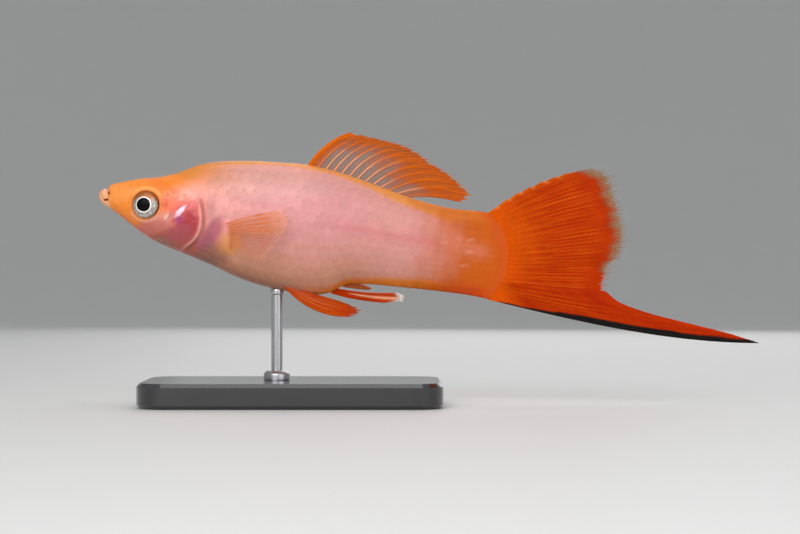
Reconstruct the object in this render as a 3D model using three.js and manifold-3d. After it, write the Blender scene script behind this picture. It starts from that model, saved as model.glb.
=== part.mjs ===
// A male swordtail, life size, held level over a small display stand.
//
// Millimetres, +Z up. The snout points to -X and the left flank faces -Y. The origin is on
// the floor, under the middle of the whole length. The fish is described in a frame of its
// own: x runs from the front of the lips to the tip of the sword, z is the height above the
// lips, and the left side is -y. The whole fish is then pitched nose-up and set in place.
import * as THREE from "three";
import { mergeVertices } from "three/addons/utils/BufferGeometryUtils.js";
import Module from "manifold-3d";

const wasm = await Module();
wasm.setup();

// Driving sizes, in millimetres and degrees.
const PITCH = 7.6; // nose-up tilt of the swimming fish
const LIPS_PLACE = { x: -52.96, z: 33.6 }; // where the front of the lips is above the floor
const GAP = 0.3; // clearance between neighbouring pieces
const CUT_REACH = 12; // half the depth of a cut through the whole fish
const FLOOR = 0;
const WELD = 1e-5; // points closer than this are one point

// Outline of the body from the side, and from above, as [x, size] pairs.
const BACK = [
  [0, 0], [0.25, 0.68], [0.74, 1.13], [1.68, 1.92], [3.37, 2.55], [6.15, 3.48], [9.29, 4.18],
  [12.36, 5.36], [15.38, 6.94], [18.48, 7.87], [23.22, 8.62], [28, 9.02], [32.66, 9.24],
  [38.97, 8.46], [45.97, 6.94], [51.67, 5.83], [55.85, 5.38], [61, 5.5], [64, 5.3], [67.5, 4.6],
];
const BELLY = [
  [0, 0], [0.2, -0.66], [0.83, -1.37], [2.03, -1.91], [5.56, -3.94], [7.9, -5.27],
  [10.2, -6.26], [14.67, -7.49], [19.16, -8.68], [23.68, -10.14], [28.11, -10.98],
  [33.95, -11.35], [37.14, -11.1], [38.86, -10.55], [40, -9.7], [41.2, -8.95], [43, -8.62],
  [49.69, -8.27], [56.12, -8.09], [61, -8.1], [65.5, -8.5], [67.5, -8.8],
];
const HALF_WIDTH = [
  [0, 0], [0.25, 0.95], [0.83, 1.5], [2, 1.98], [4, 2.55], [8, 3.5], [12, 4.2], [16, 4.62],
  [21, 4.95], [27, 4.9], [33, 4.5], [39, 3.85], [46, 3.05], [53, 2.3], [59, 1.6], [63, 1.0],
  [65.5, 0.62], [67.5, 0.45],
];
const WIDEST_HEIGHT = [
  [0, 0], [4, -0.5], [10, -1.2], [20, -1.3], [34, -1.6], [50, -1.3], [67.5, -1.6],
];
// Squareness of the upper and lower half of a section: 2 is an ellipse, more is boxier.
const UPPER_SHAPE = [[0, 2.2], [4, 2.9], [10, 2.8], [18, 2.15], [34, 1.85], [67.5, 1.9]];
const LOWER_SHAPE = [[0, 2.2], [6, 2], [14, 1.85], [26, 2.05], [40, 1.85], [67.5, 1.9]];
const BODY_END = 67.5;
const RING_POINTS = 28;
// Runs of sections along the body: from, to and the distance between sections.
const STATION_RUNS = [
  [0, 0.25, 0.25], [0.25, 3, 0.46], [3, 17, 1], [17, 38, 1.75], [38, 42.5, 0.75],
  [42.5, BODY_END, 1.56],
];
const TIP = { inset: 0.02, size: 0.12 }; // the blunt point that closes the skin at the lips

// Lines on the flank, from the side.
const GILL_REAR = [
  [13.4, 9], [14.4, 6.6], [15.91, 2.93], [17.1, -0.6], [17.35, -3.01], [16.65, -5.04],
  [14.9, -6.9], [12.6, -9],
];
const GILL_COVER = [
  [12.9, 0.2], [13.9, 1.5], [15.6, 1.9], [18.6, 1.4], [19.6, -2.2], [18.6, -5.7],
  [15.4, -6.1], [12.6, -5.8], [11.5, -4.5], [11.9, -2.2],
];
const COVER_THICKNESS = 1;
const STALK_START = 49;
const TAIL_ROOT = [
  [60.6, 7], [61.9, 5.3], [63.9, 2.6], [64.9, -1], [64.9, -4.6], [64.4, -8.3], [64.1, -10],
];
const TAIL_ROOT_STEPS = 16;
const BEHIND_TAIL = 80; // a place well behind the tail root, for cutting the body off
const OUT_OF_REACH = 20; // well above and below the body
const LINE_STEPS = 12;
const RING_STEPS = 36;

// The mouth: the groove behind the upper lip, the slit and the line under the jaw.
const LIP_GROOVE = [[0.74, 1.25], [1.62, 0.45], [1.9, 0.42], [1.6, 1.06], [1.72, 2.4], [0.5, 2.4]];
const LIP_BACK = [[1.68, 0.7], [1.78, 0.1], [1.62, -0.4], [1.35, -0.72]];
const MOUTH_SLIT = [[0.62, 1.6], [0.5, 0.7], [0.62, -0.1], [0.98, -0.6], [1.4, -0.74]];
const JAW_LINE = [[1.25, -0.7], [2.2, -1.12], [3.3, -1.75], [4.5, -3.0], [5.1, -4.4]];

// Two nostril pits on each side of the snout, longer than they are high.
const NOSTRILS = [
  { x: 3.1, z: 1.5, radius: 0.26 },
  { x: 4.9, z: 2.0, radius: 0.34 },
];
const NOSTRIL_STRETCH = 1.25;
const NOSTRIL_SIDES = { around: 8, down: 6 };
const EYE = { x: 8, z: -0.6, y: 2.32, radius: 2.15, bulge: 1.5, around: 20, down: 12 };

// The fins. Each ray runs from a point on the root line to a point on the margin, bowed
// to one side of the straight line between them by a share of its own length.
const DORSAL = {
  rays: 13,
  root: [[32.9, 8.6], [37, 8.2], [42.5, 7.1], [48.4, 5.9]],
  margin: [
    [38.9, 15.3], [43.2, 14.9], [48.3, 14.1], [53.2, 11.7], [57.3, 9.4], [59, 7.7], [57.4, 6.5],
  ],
  bow: [0.1, 0.14, 0.16, 0.13, 0.06],
};
const CAUDAL = {
  rays: 17,
  root: [[62.3, 5.3], [64.3, 2.6], [65.3, -1], [65.3, -5.35]],
  margin: [
    [78.4, 14.9], [81, 14], [82.6, 10.6], [84.5, 6], [84.7, 2.1], [82.8, -0.8], [82.3, -4.3],
  ],
  bow: [0.062, 0.03, 0, -0.01, 0],
};
const SWORD = {
  rays: 7,
  root: [[65.3, -5.7], [65.2, -6.6], [65.05, -7.5], [64.9, -8.35]],
  margin: [[82.5, -4.7], [85, -6.05], [89.8, -7.1], [95, -7.72], [102.5, -8.55], [108.1, -9.5]],
  bow: [0.005, -0.012, -0.028, -0.036, -0.036],
};
const PECTORAL = {
  rays: 9,
  root: [[20.3, -2.2], [20.8, -3.3], [21.2, -4.4], [21.5, -5.5]],
  margin: [[30.1, 1.4], [31.1, 0.6], [31.2, -1.2], [30.3, -3.2], [29.1, -5.3], [28, -6.9]],
  bow: [0.03, 0, 0, 0, -0.03],
  spread: 3.1, // how far the fin swings out from the flank, most of it near the root
  flare: 0.8, // and how far it leans out evenly on top of that
  root_depth: 0.5,
};
const PELVIC = {
  rays: 6,
  root: [[31.4, -10.6], [32.3, -10.7], [33.1, -10.8], [33.9, -10.8]],
  margin: [[42.7, -13.9], [43.9, -12.9], [42.9, -12.3], [41, -11.95]],
  bow: [-0.12, -0.08, -0.04, 0],
  root_y: [1.7, 1.0],
  margin_y: [3.4, 1.2],
};
const GONOPODIUM = {
  rays: 4,
  root: [[39.5, -10.2], [39.9, -9.9], [40.3, -9.5], [40.7, -9.2]],
  margin: [[48.7, -10.9], [50.1, -10.4], [50.6, -9.8], [49.9, -9.1]],
  bow: [-0.07, -0.06, -0.06, -0.06],
};
const ANAL_RAYS = {
  rays: 4,
  root: [[40.5, -9.4], [41, -9], [41.4, -8.75], [41.9, -8.5]],
  margin: [[44.6, -9.35], [45.1, -9.25], [45.3, -9.15], [45.3, -9.05]],
  bow: [-0.02, 0, 0.02, 0.04],
};
// Three hooks at the end of the rod: where they are, and how each one leans.
const HOOK = { length: 0.9, radius: 0.22, x: 50.35, z: -10.05, rise: 0.6, sides: 6 };
const HOOK_LEANS = [0.5, 0, -0.5];

// Thicknesses of the fins: the web, the rays at their roots and the outer edge. The web
// between two rays ends a notch short of the ray tips, as a share of the ray's length.
const FIN_ROWS = 10;
const SLOPE_STEP = 0.01; // the small step over which the slope of a sheet is taken
const THIN_FIN = { web: 0.5, ray: 0.85, edge: 0.22, notch: 0.06 };
const TAIL_FIN = { web: 0.55, ray: 1.0, edge: 0.22, notch: 0.045 };
const SWORD_FIN = { web: 0.6, ray: 1.0, edge: 0.3, notch: 0.01 };
const ROD_FIN = { web: 0.7, ray: 1.15, edge: 0.5, notch: 0.02 };

// The display stand.
const BASE = { x: -22, length: 48, depth: 26, height: 4, corner: 4, bevel: 0.6 };
const ROD = { x: -24.5, radius: 0.9, sides: 20 };

// Colours, with how rough each finish is.
const FINISHES = {
  orange: { color: 0xf08030, roughness: 0.4 },
  pink: { color: 0xe29a94, roughness: 0.35 },
  lip: { color: 0xf5a878, roughness: 0.4 },
  gill: { color: 0xc85a66, roughness: 0.3 },
  fin: { color: 0xd9480f, roughness: 0.45 },
  eye: { color: 0x6f6a62, roughness: 0.15 },
  base: { color: 0x1b1b1d, roughness: 0.35 },
  rod: { color: 0xb8babd, roughness: 0.25, metalness: 1 },
};

// A smooth curve through [x, size] pairs, as a function of x.
function curveOf(pairs) {
  const spline = new THREE.CubicInterpolant(pairs.map((p) => p[0]), pairs.map((p) => p[1]), 1);
  return (x) => spline.evaluate(x)[0];
}

// A smooth line through side-view points, as a function of the share of its length.
function lineOf(points) {
  const spline = new THREE.SplineCurve(points.map(([x, z]) => new THREE.Vector2(x, z)));
  return (share) => spline.getPointAt(THREE.MathUtils.clamp(share, 0, 1));
}

const back = curveOf(BACK);
const belly = curveOf(BELLY);
const halfWidth = curveOf(HALF_WIDTH);
const widestHeight = curveOf(WIDEST_HEIGHT);
const upperShape = curveOf(UPPER_SHAPE);
const lowerShape = curveOf(LOWER_SHAPE);

// A point of the body's section at x, at an angle from straight up, grown outwards by grow.
function bodyPoint(x, angle, grow = 0) {
  const up = Math.cos(angle);
  const side = Math.sin(angle);
  const middle = widestHeight(x);
  const reach = up > 0 ? back(x) + grow - middle : middle - belly(x) + grow;
  const power = 2 / (up > 0 ? upperShape(x) : lowerShape(x));
  const y = -Math.sign(side) * Math.abs(side) ** power * (halfWidth(x) + grow);
  return new THREE.Vector3(x, y, middle + Math.sign(up) * Math.abs(up) ** power * reach);
}

// How far the flank is from the middle of the fish at x and height z.
function flank(x, z) {
  const middle = widestHeight(x);
  const share = z > middle ? (z - middle) / (back(x) - middle) : (middle - z) / (middle - belly(x));
  const shape = z > middle ? upperShape(x) : lowerShape(x);
  return halfWidth(x) * Math.max(0, 1 - share ** shape) ** (1 / shape);
}

// A mesh from points and corner lists.
function geometryOf(points, triangles) {
  const geometry = new THREE.BufferGeometry().setFromPoints(points);
  return geometry.setIndex(triangles.flat());
}

// A closed skin over rings of points, with a point at each end.
function loftOf(rings) {
  const count = rings[0].length;
  const points = rings.flat();
  const centre = (ring) =>
    ring.reduce((sum, p) => sum.add(p), new THREE.Vector3()).divideScalar(count);
  const first = points.push(centre(rings[0])) - 1;
  const last = points.push(centre(rings.at(-1))) - 1;
  const triangles = [];
  for (let i = 0; i < count; i++) {
    const next = (i + 1) % count;
    triangles.push([first, next, i]);
    for (let r = 0; r + 1 < rings.length; r++) {
      const row = r * count;
      triangles.push([row + i, row + next, row + count + i]);
      triangles.push([row + next, row + count + next, row + count + i]);
    }
    const end = (rings.length - 1) * count;
    triangles.push([last, end + i, end + next]);
  }
  return geometryOf(points, triangles);
}

// The whole body from the lips to behind the tail root, as one skin.
function bodyGeometry(grow = 0) {
  const stations = [];
  for (const [from, to, step] of STATION_RUNS) {
    const steps = Math.round((to - from) / step);
    for (let i = 1; i <= steps; i++) {
      stations.push(from + ((to - from) * i) / steps);
    }
  }
  const angles = Array.from({ length: RING_POINTS }, (_, i) => (2 * Math.PI * i) / RING_POINTS);
  const rings = stations.map((x) => angles.map((angle) => bodyPoint(x, angle, grow)));
  // The first point of the skin is the front of the lips, not the middle of the first ring.
  const tip = rings[0].map(
    (p) => new THREE.Vector3(TIP.inset - grow, p.y * TIP.size, p.z * TIP.size),
  );
  return loftOf([tip, ...rings]);
}

// A closed solid from a closed mesh.
function solidOf(geometry) {
  const plain = geometry.clone();
  for (const extra of ["normal", "uv"]) {
    plain.deleteAttribute(extra);
  }
  const merged = mergeVertices(plain, WELD);
  const mesh = new wasm.Mesh({
    numProp: 3,
    vertProperties: merged.attributes.position.array,
    triVerts: new Uint32Array(merged.index.array),
  });
  return new wasm.Manifold(mesh);
}

// The closed pieces of a solid, the largest first.
function piecesOf(solid) {
  return solid.decompose().sort((a, b) => b.volume() - a.volume());
}

// The largest closed piece of a solid, so that no loose scrap stays.
function largest(solid) {
  return piecesOf(solid)[0];
}

// The same pieces in the order of their lowest place along an axis: 0 is x, 1 is y, 2 is z.
function lowestFirst(pieces, axis) {
  return [...pieces].sort((a, b) => a.boundingBox().min[axis] - b.boundingBox().min[axis]);
}

// A side-view outline, extruded through the fish from y = from to y = to.
function throughSide(outline, from = -CUT_REACH, to = CUT_REACH) {
  const shape = new THREE.Shape(outline.map(([x, z]) => new THREE.Vector2(x, z)));
  const geometry = new THREE.ExtrudeGeometry(shape, { depth: to - from, bevelEnabled: false });
  return solidOf(geometry.rotateX(Math.PI / 2).translate(0, to, 0));
}

// A thin cut, one gap wide, along a smooth side-view line.
function cutAlong(points) {
  const line = new THREE.SplineCurve(points.map(([x, z]) => new THREE.Vector2(x, z)));
  const side = (reach) =>
    Array.from({ length: LINE_STEPS + 1 }, (_, i) => {
      const at = line.getPoint(i / LINE_STEPS);
      const along = line.getTangent(i / LINE_STEPS);
      return [at.x - along.y * reach, at.y + along.x * reach];
    });
  return throughSide([...side(GAP / 2), ...side(-GAP / 2).reverse()]);
}

// A closed, smooth side-view outline, grown outwards by grow.
function ringAround(points, grow) {
  const ring = new THREE.CatmullRomCurve3(points.map(([x, z]) => new THREE.Vector3(x, z, 0)), true);
  return Array.from({ length: RING_STEPS }, (_, i) => {
    const at = ring.getPoint(i / RING_STEPS);
    const along = ring.getTangent(i / RING_STEPS);
    return [at.x - along.y * grow, at.y + along.x * grow];
  });
}

// A closed sheet of rays and web. at(s, t) is the middle of the sheet, s from the first ray
// to the last and t from root to margin. The web between two rays ends a notch short.
function finGeometry({ rays, at, rows = FIN_ROWS, form }) {
  const columns = 2 * rays - 1;
  const front = [];
  const rear = [];
  for (let c = 0; c < columns; c++) {
    const share = c / (columns - 1);
    const isRay = c % 2 === 0;
    for (let r = 0; r <= rows; r++) {
      const reach = (r / rows) * (isRay ? 1 : 1 - form.notch);
      const thick = THREE.MathUtils.lerp(isRay ? form.ray : form.web, form.web, reach);
      const half = 0.5 * (r === rows ? form.edge : thick);
      const here = at(share, reach);
      const across = at(share + SLOPE_STEP, reach).sub(at(share - SLOPE_STEP, reach));
      const along = at(share, reach + SLOPE_STEP).sub(at(share, reach - SLOPE_STEP));
      const normal = across.cross(along).normalize();
      front.push(here.clone().addScaledVector(normal, half));
      rear.push(here.clone().addScaledVector(normal, -half));
    }
  }
  const points = [...front, ...rear];
  const stride = rows + 1;
  const behind = front.length; // the rear side's points come after the front side's
  const triangles = [];
  const quad = (a, b, c, d) => triangles.push([a, b, c], [a, c, d]);
  for (let c = 0; c + 1 < columns; c++) {
    for (let r = 0; r < rows; r++) {
      const a = c * stride + r;
      const b = a + stride;
      quad(a, b, b + 1, a + 1);
      triangles.push([behind + a, behind + b + 1, behind + b]);
      triangles.push([behind + a, behind + a + 1, behind + b + 1]);
    }
    const root = c * stride;
    quad(root, behind + root, behind + root + stride, root + stride);
    const margin = root + rows;
    quad(margin, margin + stride, behind + margin + stride, behind + margin);
  }
  for (let r = 0; r < rows; r++) {
    quad(r, r + 1, behind + r + 1, behind + r);
    const end = (columns - 1) * stride + r;
    quad(end, behind + end, behind + end + 1, end + 1);
  }
  return geometryOf(points, triangles);
}

// The side-view course of a fin's rays: a function of s and t.
function rayCourse({ root, margin, bow }) {
  const rootLine = lineOf(root);
  const marginLine = lineOf(margin);
  const bowAt = curveOf(bow.map((b, i) => [i / (bow.length - 1), b]));
  return (s, t) => {
    const start = rootLine(s);
    const end = marginLine(s);
    const chord = end.clone().sub(start);
    // A parabola that is 1 halfway along the ray and 0 at both ends.
    const arch = 4 * t * (1 - t);
    const lift = arch * bowAt(THREE.MathUtils.clamp(s, 0, 1));
    const side = new THREE.Vector2(-chord.y, chord.x);
    return start.addScaledVector(chord, t).addScaledVector(side, lift);
  };
}

// A fin in the middle plane of the fish.
function middleFin(fin, form) {
  const course = rayCourse(fin);
  const at = (s, t) => {
    const p = course(s, t);
    return new THREE.Vector3(p.x, 0, p.y);
  };
  return solidOf(finGeometry({ rays: fin.rays, at, form }));
}

// The body grown by one gap, to cut clearance into whatever touches it.
const grownBody = solidOf(bodyGeometry(GAP));

// The same solid on the other side of the fish.
function mirrored(solid) {
  const mesh = solid.getMesh();
  const positions = Float32Array.from(mesh.vertProperties, (v, i) => (i % 3 === 1 ? -v : v));
  const turned = Uint32Array.from(mesh.triVerts, (_, i) => mesh.triVerts[i + 2 - 2 * (i % 3)]);
  const flipped = new wasm.Mesh({ numProp: 3, vertProperties: positions, triVerts: turned });
  return new wasm.Manifold(flipped);
}

// The two gill covers, left first: thin shells of the head's own skin.
function gillCovers(head) {
  const outline = throughSide(ringAround(GILL_COVER, -GAP / 2));
  const shells = head.intersect(outline).subtract(solidOf(bodyGeometry(-COVER_THICKNESS)));
  return lowestFirst(piecesOf(shells).slice(0, 2), 1);
}

// The body, parted by thin cuts into torso, head, tail stalk, lower jaw and upper lip.
function partedBody() {
  const stalkCut = throughSide([
    [STALK_START, -OUT_OF_REACH], [STALK_START + GAP, -OUT_OF_REACH],
    [STALK_START + GAP, OUT_OF_REACH], [STALK_START, OUT_OF_REACH],
  ]);
  const tailRoot = lineOf(TAIL_ROOT);
  const rootPoints = Array.from({ length: TAIL_ROOT_STEPS + 1 }, (_, i) =>
    tailRoot(i / TAIL_ROOT_STEPS).toArray(),
  );
  const behindTail = throughSide([
    ...rootPoints, [BEHIND_TAIL, -OUT_OF_REACH], [BEHIND_TAIL, OUT_OF_REACH],
  ]);
  const cuts = [
    cutAlong(GILL_REAR), stalkCut, behindTail, throughSide(LIP_GROOVE), cutAlong(LIP_BACK),
    cutAlong(MOUTH_SLIT), cutAlong(JAW_LINE),
  ];
  const whole = solidOf(bodyGeometry());
  const [torso, ...rest] = piecesOf(cuts.reduce((solid, cut) => solid.subtract(cut), whole));
  const [head, stalk] = lowestFirst(rest.slice(0, 2), 0);
  const [jaw, lip] = lowestFirst(rest.slice(2, 4), 2);
  return { torso, head, stalk, jaw, lip };
}

// Head, lips, jaw, gill covers, torso and tail stalk, by name.
function bodyPieces() {
  const { torso, head, stalk, jaw, lip } = partedBody();
  const [leftCover, rightCover] = gillCovers(head);
  const bedCore = solidOf(bodyGeometry(-COVER_THICKNESS - GAP));
  const bed = throughSide(ringAround(GILL_COVER, GAP / 2)).subtract(bedCore);
  const socket = solidOf(eyeballGeometry(GAP));
  const pits = NOSTRILS.map(nostrilPit).reduce((all, pit) => all.add(pit), socket);
  const bareHead = head.subtract(bed).subtract(pits).subtract(mirrored(pits));
  return {
    head: largest(bareHead), upper_lip: lip, lower_jaw: jaw, gill_cover_left: leftCover,
    gill_cover_right: rightCover, torso, tail_stalk: stalk,
  };
}

// The left eyeball, flattened towards the side of the head.
function eyeballGeometry(grow = 0) {
  const { x, y, z, radius, bulge, around, down } = EYE;
  const ball = new THREE.SphereGeometry(1, around, down).rotateX(Math.PI / 2);
  return ball.scale(radius + grow, bulge + grow, radius + grow).translate(x, -y, z);
}

// A shallow pit in the skin of the left side of the snout.
function nostrilPit({ x, z, radius }) {
  const { around, down } = NOSTRIL_SIDES;
  const pit = new THREE.SphereGeometry(radius, around, down).scale(NOSTRIL_STRETCH, 1, 1);
  return solidOf(pit.translate(x, -flank(x, z), z));
}

// A pectoral fin stands out from the flank behind the gill cover.
function pectoralFin() {
  const course = rayCourse(PECTORAL);
  const at = (s, t) => {
    const p = course(s, t);
    const start = course(s, 0);
    const rootY = flank(start.x, start.y) - PECTORAL.root_depth;
    const out = PECTORAL.spread * Math.sin((Math.PI / 2) * t) + PECTORAL.flare * t;
    return new THREE.Vector3(p.x, -(rootY + out), p.y);
  };
  return solidOf(finGeometry({ rays: PECTORAL.rays, at, form: THIN_FIN })).subtract(grownBody);
}

// A pelvic fin hangs back from the belly, its front ray further out than its last.
function pelvicFin() {
  const course = rayCourse(PELVIC);
  const at = (s, t) => {
    const p = course(s, t);
    const root = THREE.MathUtils.lerp(PELVIC.root_y[0], PELVIC.root_y[1], s);
    const margin = THREE.MathUtils.lerp(PELVIC.margin_y[0], PELVIC.margin_y[1], s);
    return new THREE.Vector3(p.x, -THREE.MathUtils.lerp(root, margin, t), p.y);
  };
  return solidOf(finGeometry({ rays: PELVIC.rays, at, form: THIN_FIN })).subtract(grownBody);
}

// The anal fin of a male: a rod of fused rays with hooks at its end, and short rays behind.
function gonopodium() {
  const { radius, length, sides, x, z, rise } = HOOK;
  const hook = (lean) => {
    const cone = new THREE.ConeGeometry(radius, length, sides).rotateZ(-Math.PI / 2);
    return solidOf(cone.rotateY(-lean).translate(x, 0, z + lean * rise));
  };
  const rod = HOOK_LEANS.reduce((all, lean) => all.add(hook(lean)), middleFin(GONOPODIUM, ROD_FIN));
  return rod.add(middleFin(ANAL_RAYS, THIN_FIN)).subtract(grownBody);
}

// From here on, how the fish is placed over the floor.
const fishPlace = new THREE.Matrix4()
  .makeRotationY(THREE.MathUtils.degToRad(PITCH))
  .setPosition(LIPS_PLACE.x, 0, LIPS_PLACE.z);

// The upright rod from the base to the belly, in the fish's own frame.
function standRod() {
  const { x, radius, sides } = ROD;
  const bottom = BASE.height + GAP;
  const height = LIPS_PLACE.z - bottom;
  const rod = new THREE.CylinderGeometry(radius, radius, height, sides).rotateX(Math.PI / 2);
  rod.translate(x, 0, bottom + height / 2).applyMatrix4(fishPlace.clone().invert());
  return lowestFirst(piecesOf(solidOf(rod).subtract(grownBody)), 2)[0];
}

// The flat base plate, with rounded corners and bevelled edges.
function baseGeometry() {
  const { length, depth, corner, bevel, height } = BASE;
  const halfLength = length / 2 - bevel;
  const halfDepth = depth / 2 - bevel;
  const shape = new THREE.Shape();
  shape.moveTo(-halfLength + corner, -halfDepth);
  // The four corners, with the quarter turns at which each one's arc starts.
  for (const [towardX, towardY, turns] of [[1, -1, -1], [1, 1, 0], [-1, 1, 1], [-1, -1, 2]]) {
    const x = towardX * (halfLength - corner);
    const y = towardY * (halfDepth - corner);
    const start = (turns * Math.PI) / 2;
    shape.absarc(x, y, corner, start, start + Math.PI / 2, false);
  }
  const settings = {
    depth: height - 2 * bevel, bevelThickness: bevel, bevelSize: bevel, bevelSegments: 1,
    curveSegments: 8,
  };
  return new THREE.ExtrudeGeometry(shape, settings).translate(BASE.x, 0, FLOOR + bevel);
}

// A named mesh with its finish.
function meshOf(name, solid, finish) {
  const made = solid.getMesh();
  const geometry = new THREE.BufferGeometry()
    .setAttribute("position", new THREE.BufferAttribute(made.vertProperties, 3))
    .setIndex(new THREE.BufferAttribute(made.triVerts, 1));
  geometry.computeVertexNormals();
  const mesh = new THREE.Mesh(geometry, new THREE.MeshStandardMaterial(FINISHES[finish]));
  mesh.name = name;
  return mesh;
}

const fish = new THREE.Group();
fish.applyMatrix4(fishPlace);

const body = bodyPieces();
const bodyFinishes = {
  head: "orange", upper_lip: "lip", lower_jaw: "lip", gill_cover_left: "gill",
  gill_cover_right: "gill", torso: "pink", tail_stalk: "orange",
};
for (const [name, finish] of Object.entries(bodyFinishes)) {
  fish.add(meshOf(name, body[name], finish));
}

const eyeball = solidOf(eyeballGeometry());
fish.add(meshOf("eye_left", eyeball, "eye"), meshOf("eye_right", mirrored(eyeball), "eye"));

fish.add(meshOf("dorsal_fin", largest(middleFin(DORSAL, THIN_FIN).subtract(grownBody)), "fin"));
fish.add(meshOf("caudal_fin", largest(middleFin(CAUDAL, TAIL_FIN)), "fin"));
fish.add(meshOf("sword", largest(middleFin(SWORD, SWORD_FIN)), "fin"));
fish.add(meshOf("gonopodium", largest(gonopodium()), "fin"));

for (const [name, make] of [["pectoral_fin", pectoralFin], ["pelvic_fin", pelvicFin]]) {
  const left = largest(make());
  fish.add(meshOf(`${name}_left`, left, "fin"));
  fish.add(meshOf(`${name}_right`, mirrored(left), "fin"));
}

fish.add(meshOf("stand_rod", standRod(), "rod"));

const model = new THREE.Group();
model.add(fish, meshOf("stand_base", solidOf(baseGeometry()), "base"));

export default model;
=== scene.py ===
"""A grown male swordtail as a life-size museum model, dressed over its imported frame.

Every table of the fish is in millimetres in the fish's own frame: x runs from the front of
the lips towards the tip of the sword, z is the height above the lips and the left side is
-y. The fish is pitched nose-up and set over its stand by Placement, in metres.
"""
import logging
import math
from contextlib import contextmanager
from dataclasses import dataclass, field
from enum import Enum
from typing import Callable, Iterator, Sequence

import bpy
import numpy as np
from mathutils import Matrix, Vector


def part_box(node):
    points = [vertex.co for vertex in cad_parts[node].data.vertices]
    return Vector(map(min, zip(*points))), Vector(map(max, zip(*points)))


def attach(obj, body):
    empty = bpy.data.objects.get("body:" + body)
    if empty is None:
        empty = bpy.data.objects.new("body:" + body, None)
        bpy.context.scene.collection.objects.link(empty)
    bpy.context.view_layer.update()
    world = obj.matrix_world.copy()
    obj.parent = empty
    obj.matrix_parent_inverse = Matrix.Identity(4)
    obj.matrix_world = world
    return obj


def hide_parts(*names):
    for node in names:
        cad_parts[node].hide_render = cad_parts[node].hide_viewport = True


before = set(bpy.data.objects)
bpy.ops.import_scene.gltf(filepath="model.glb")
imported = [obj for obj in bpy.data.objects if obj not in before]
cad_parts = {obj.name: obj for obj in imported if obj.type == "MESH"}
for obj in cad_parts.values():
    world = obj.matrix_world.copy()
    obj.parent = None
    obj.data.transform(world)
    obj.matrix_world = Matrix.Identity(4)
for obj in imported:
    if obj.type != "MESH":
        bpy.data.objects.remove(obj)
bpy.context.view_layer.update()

LOG = logging.getLogger("swordtail")
MM = 0.001
ROOT = "root"

SMALLEST = 1e-6
NO_LENGTH = 1e-12

Array = np.ndarray
Piece = bpy.types.Object
Socket = bpy.types.NodeSocket
Material = bpy.types.Material
Node = bpy.types.Node
Span = tuple[float, float]
Pairs = tuple[Span, ...]
Triple = tuple[float, float, float]
Colour = Triple


# Curves and places.


def ease(low: float, high: float, value: Array) -> Array:
    """Rises smoothly from 0 at low to 1 at high.

    Args:
        low: Value where the result is 0.
        high: Value where the result is 1, which may be less than low.
        value: Any numbers.

    Returns:
        The eased share for each value.
    """
    share = np.clip((value - low) / (high - low), 0.0, 1.0)
    return share * share * (3.0 - 2.0 * share)


def lump(value: Array, middle: float, width: float) -> Array:
    """A smooth hill, 1 at the middle and fading over the width."""
    return np.exp(-(((value - middle) / width) ** 2))


SPOT_RIM = (0.55, 1.25)


def spot(x: Array, z: Array, centre: Span, radii: Span, lean: float = 0.0,
) -> Array:
    """A soft oval seen from the side.

    Args:
        x: Places along the fish.
        z: Heights.
        centre: Middle of the oval.
        radii: Half sizes along and across the oval.
        lean: Turn of the oval in degrees, its front end upwards.

    Returns:
        1 in the middle of the oval, fading to 0 outside it.
    """
    turn = math.radians(lean)
    along = (x - centre[0]) * math.cos(turn) - (z - centre[1]) * math.sin(turn)
    across = (x - centre[0]) * math.sin(turn) + (z - centre[1]) * math.cos(turn)
    reach = np.hypot(along / radii[0], across / radii[1])
    return 1.0 - ease(*SPOT_RIM, reach)


@dataclass(frozen=True)
class Waves:
    """Sines in many directions that add up to an uneven pattern."""

    count: int = 7
    first_turn: float = 0.3
    turn: float = 2.4
    first_pace: float = 1.5
    pace: float = 0.37
    phase: float = 1.7
    gain: float = 0.6


WAVES = Waves()


def wobble(x: Array, z: Array, size: float) -> Array:
    """An uneven, repeatable pattern between about -1 and 1, with blots of the given size."""
    total = np.zeros_like(x)
    for k in range(WAVES.count):
        turn = WAVES.turn * k + WAVES.first_turn
        pace = (WAVES.first_pace + WAVES.pace * k) / size
        total += np.sin(pace * (x * math.cos(turn) + z * math.sin(turn)) + WAVES.phase * k * k)
    return WAVES.gain * total / math.sqrt(WAVES.count)


class Profile:
    """A size that changes smoothly along the body."""

    def __init__(self, pairs: Pairs) -> None:
        """Fits the curve.

        Args:
            pairs: Place along the body and size there, in order.
        """
        self.places, self.sizes = np.array(pairs, float).T
        self.knots = self.stretch(self.places)
        secants = np.diff(self.sizes) / np.diff(self.knots)
        inner = (secants[1:] + secants[:-1]) / 2.0
        self.slopes = np.concatenate((secants[:1], inner, secants[-1:]))

    @staticmethod
    def stretch(x: Array) -> Array:
        """Spreads out the first millimetre, so that a curve starts round there."""
        x = np.maximum(x, 0.0)
        return np.where(x < 1.0, np.sqrt(x), (x + 1.0) / 2.0)

    def __call__(self, x: Array) -> Array:
        """The size at each place."""
        at = np.clip(self.stretch(np.asarray(x, float)), self.knots[0], self.knots[-1])
        low = np.clip(np.searchsorted(self.knots, at) - 1, 0, len(self.knots) - 2)
        span = self.knots[low + 1] - self.knots[low]
        share = (at - self.knots[low]) / span
        square, cube = share**2, share**3
        return (
            (2 * cube - 3 * square + 1) * self.sizes[low]
            + (cube - 2 * square + share) * span * self.slopes[low]
            + (3 * square - 2 * cube) * self.sizes[low + 1]
            + (cube - square) * span * self.slopes[low + 1]
        )


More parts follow.
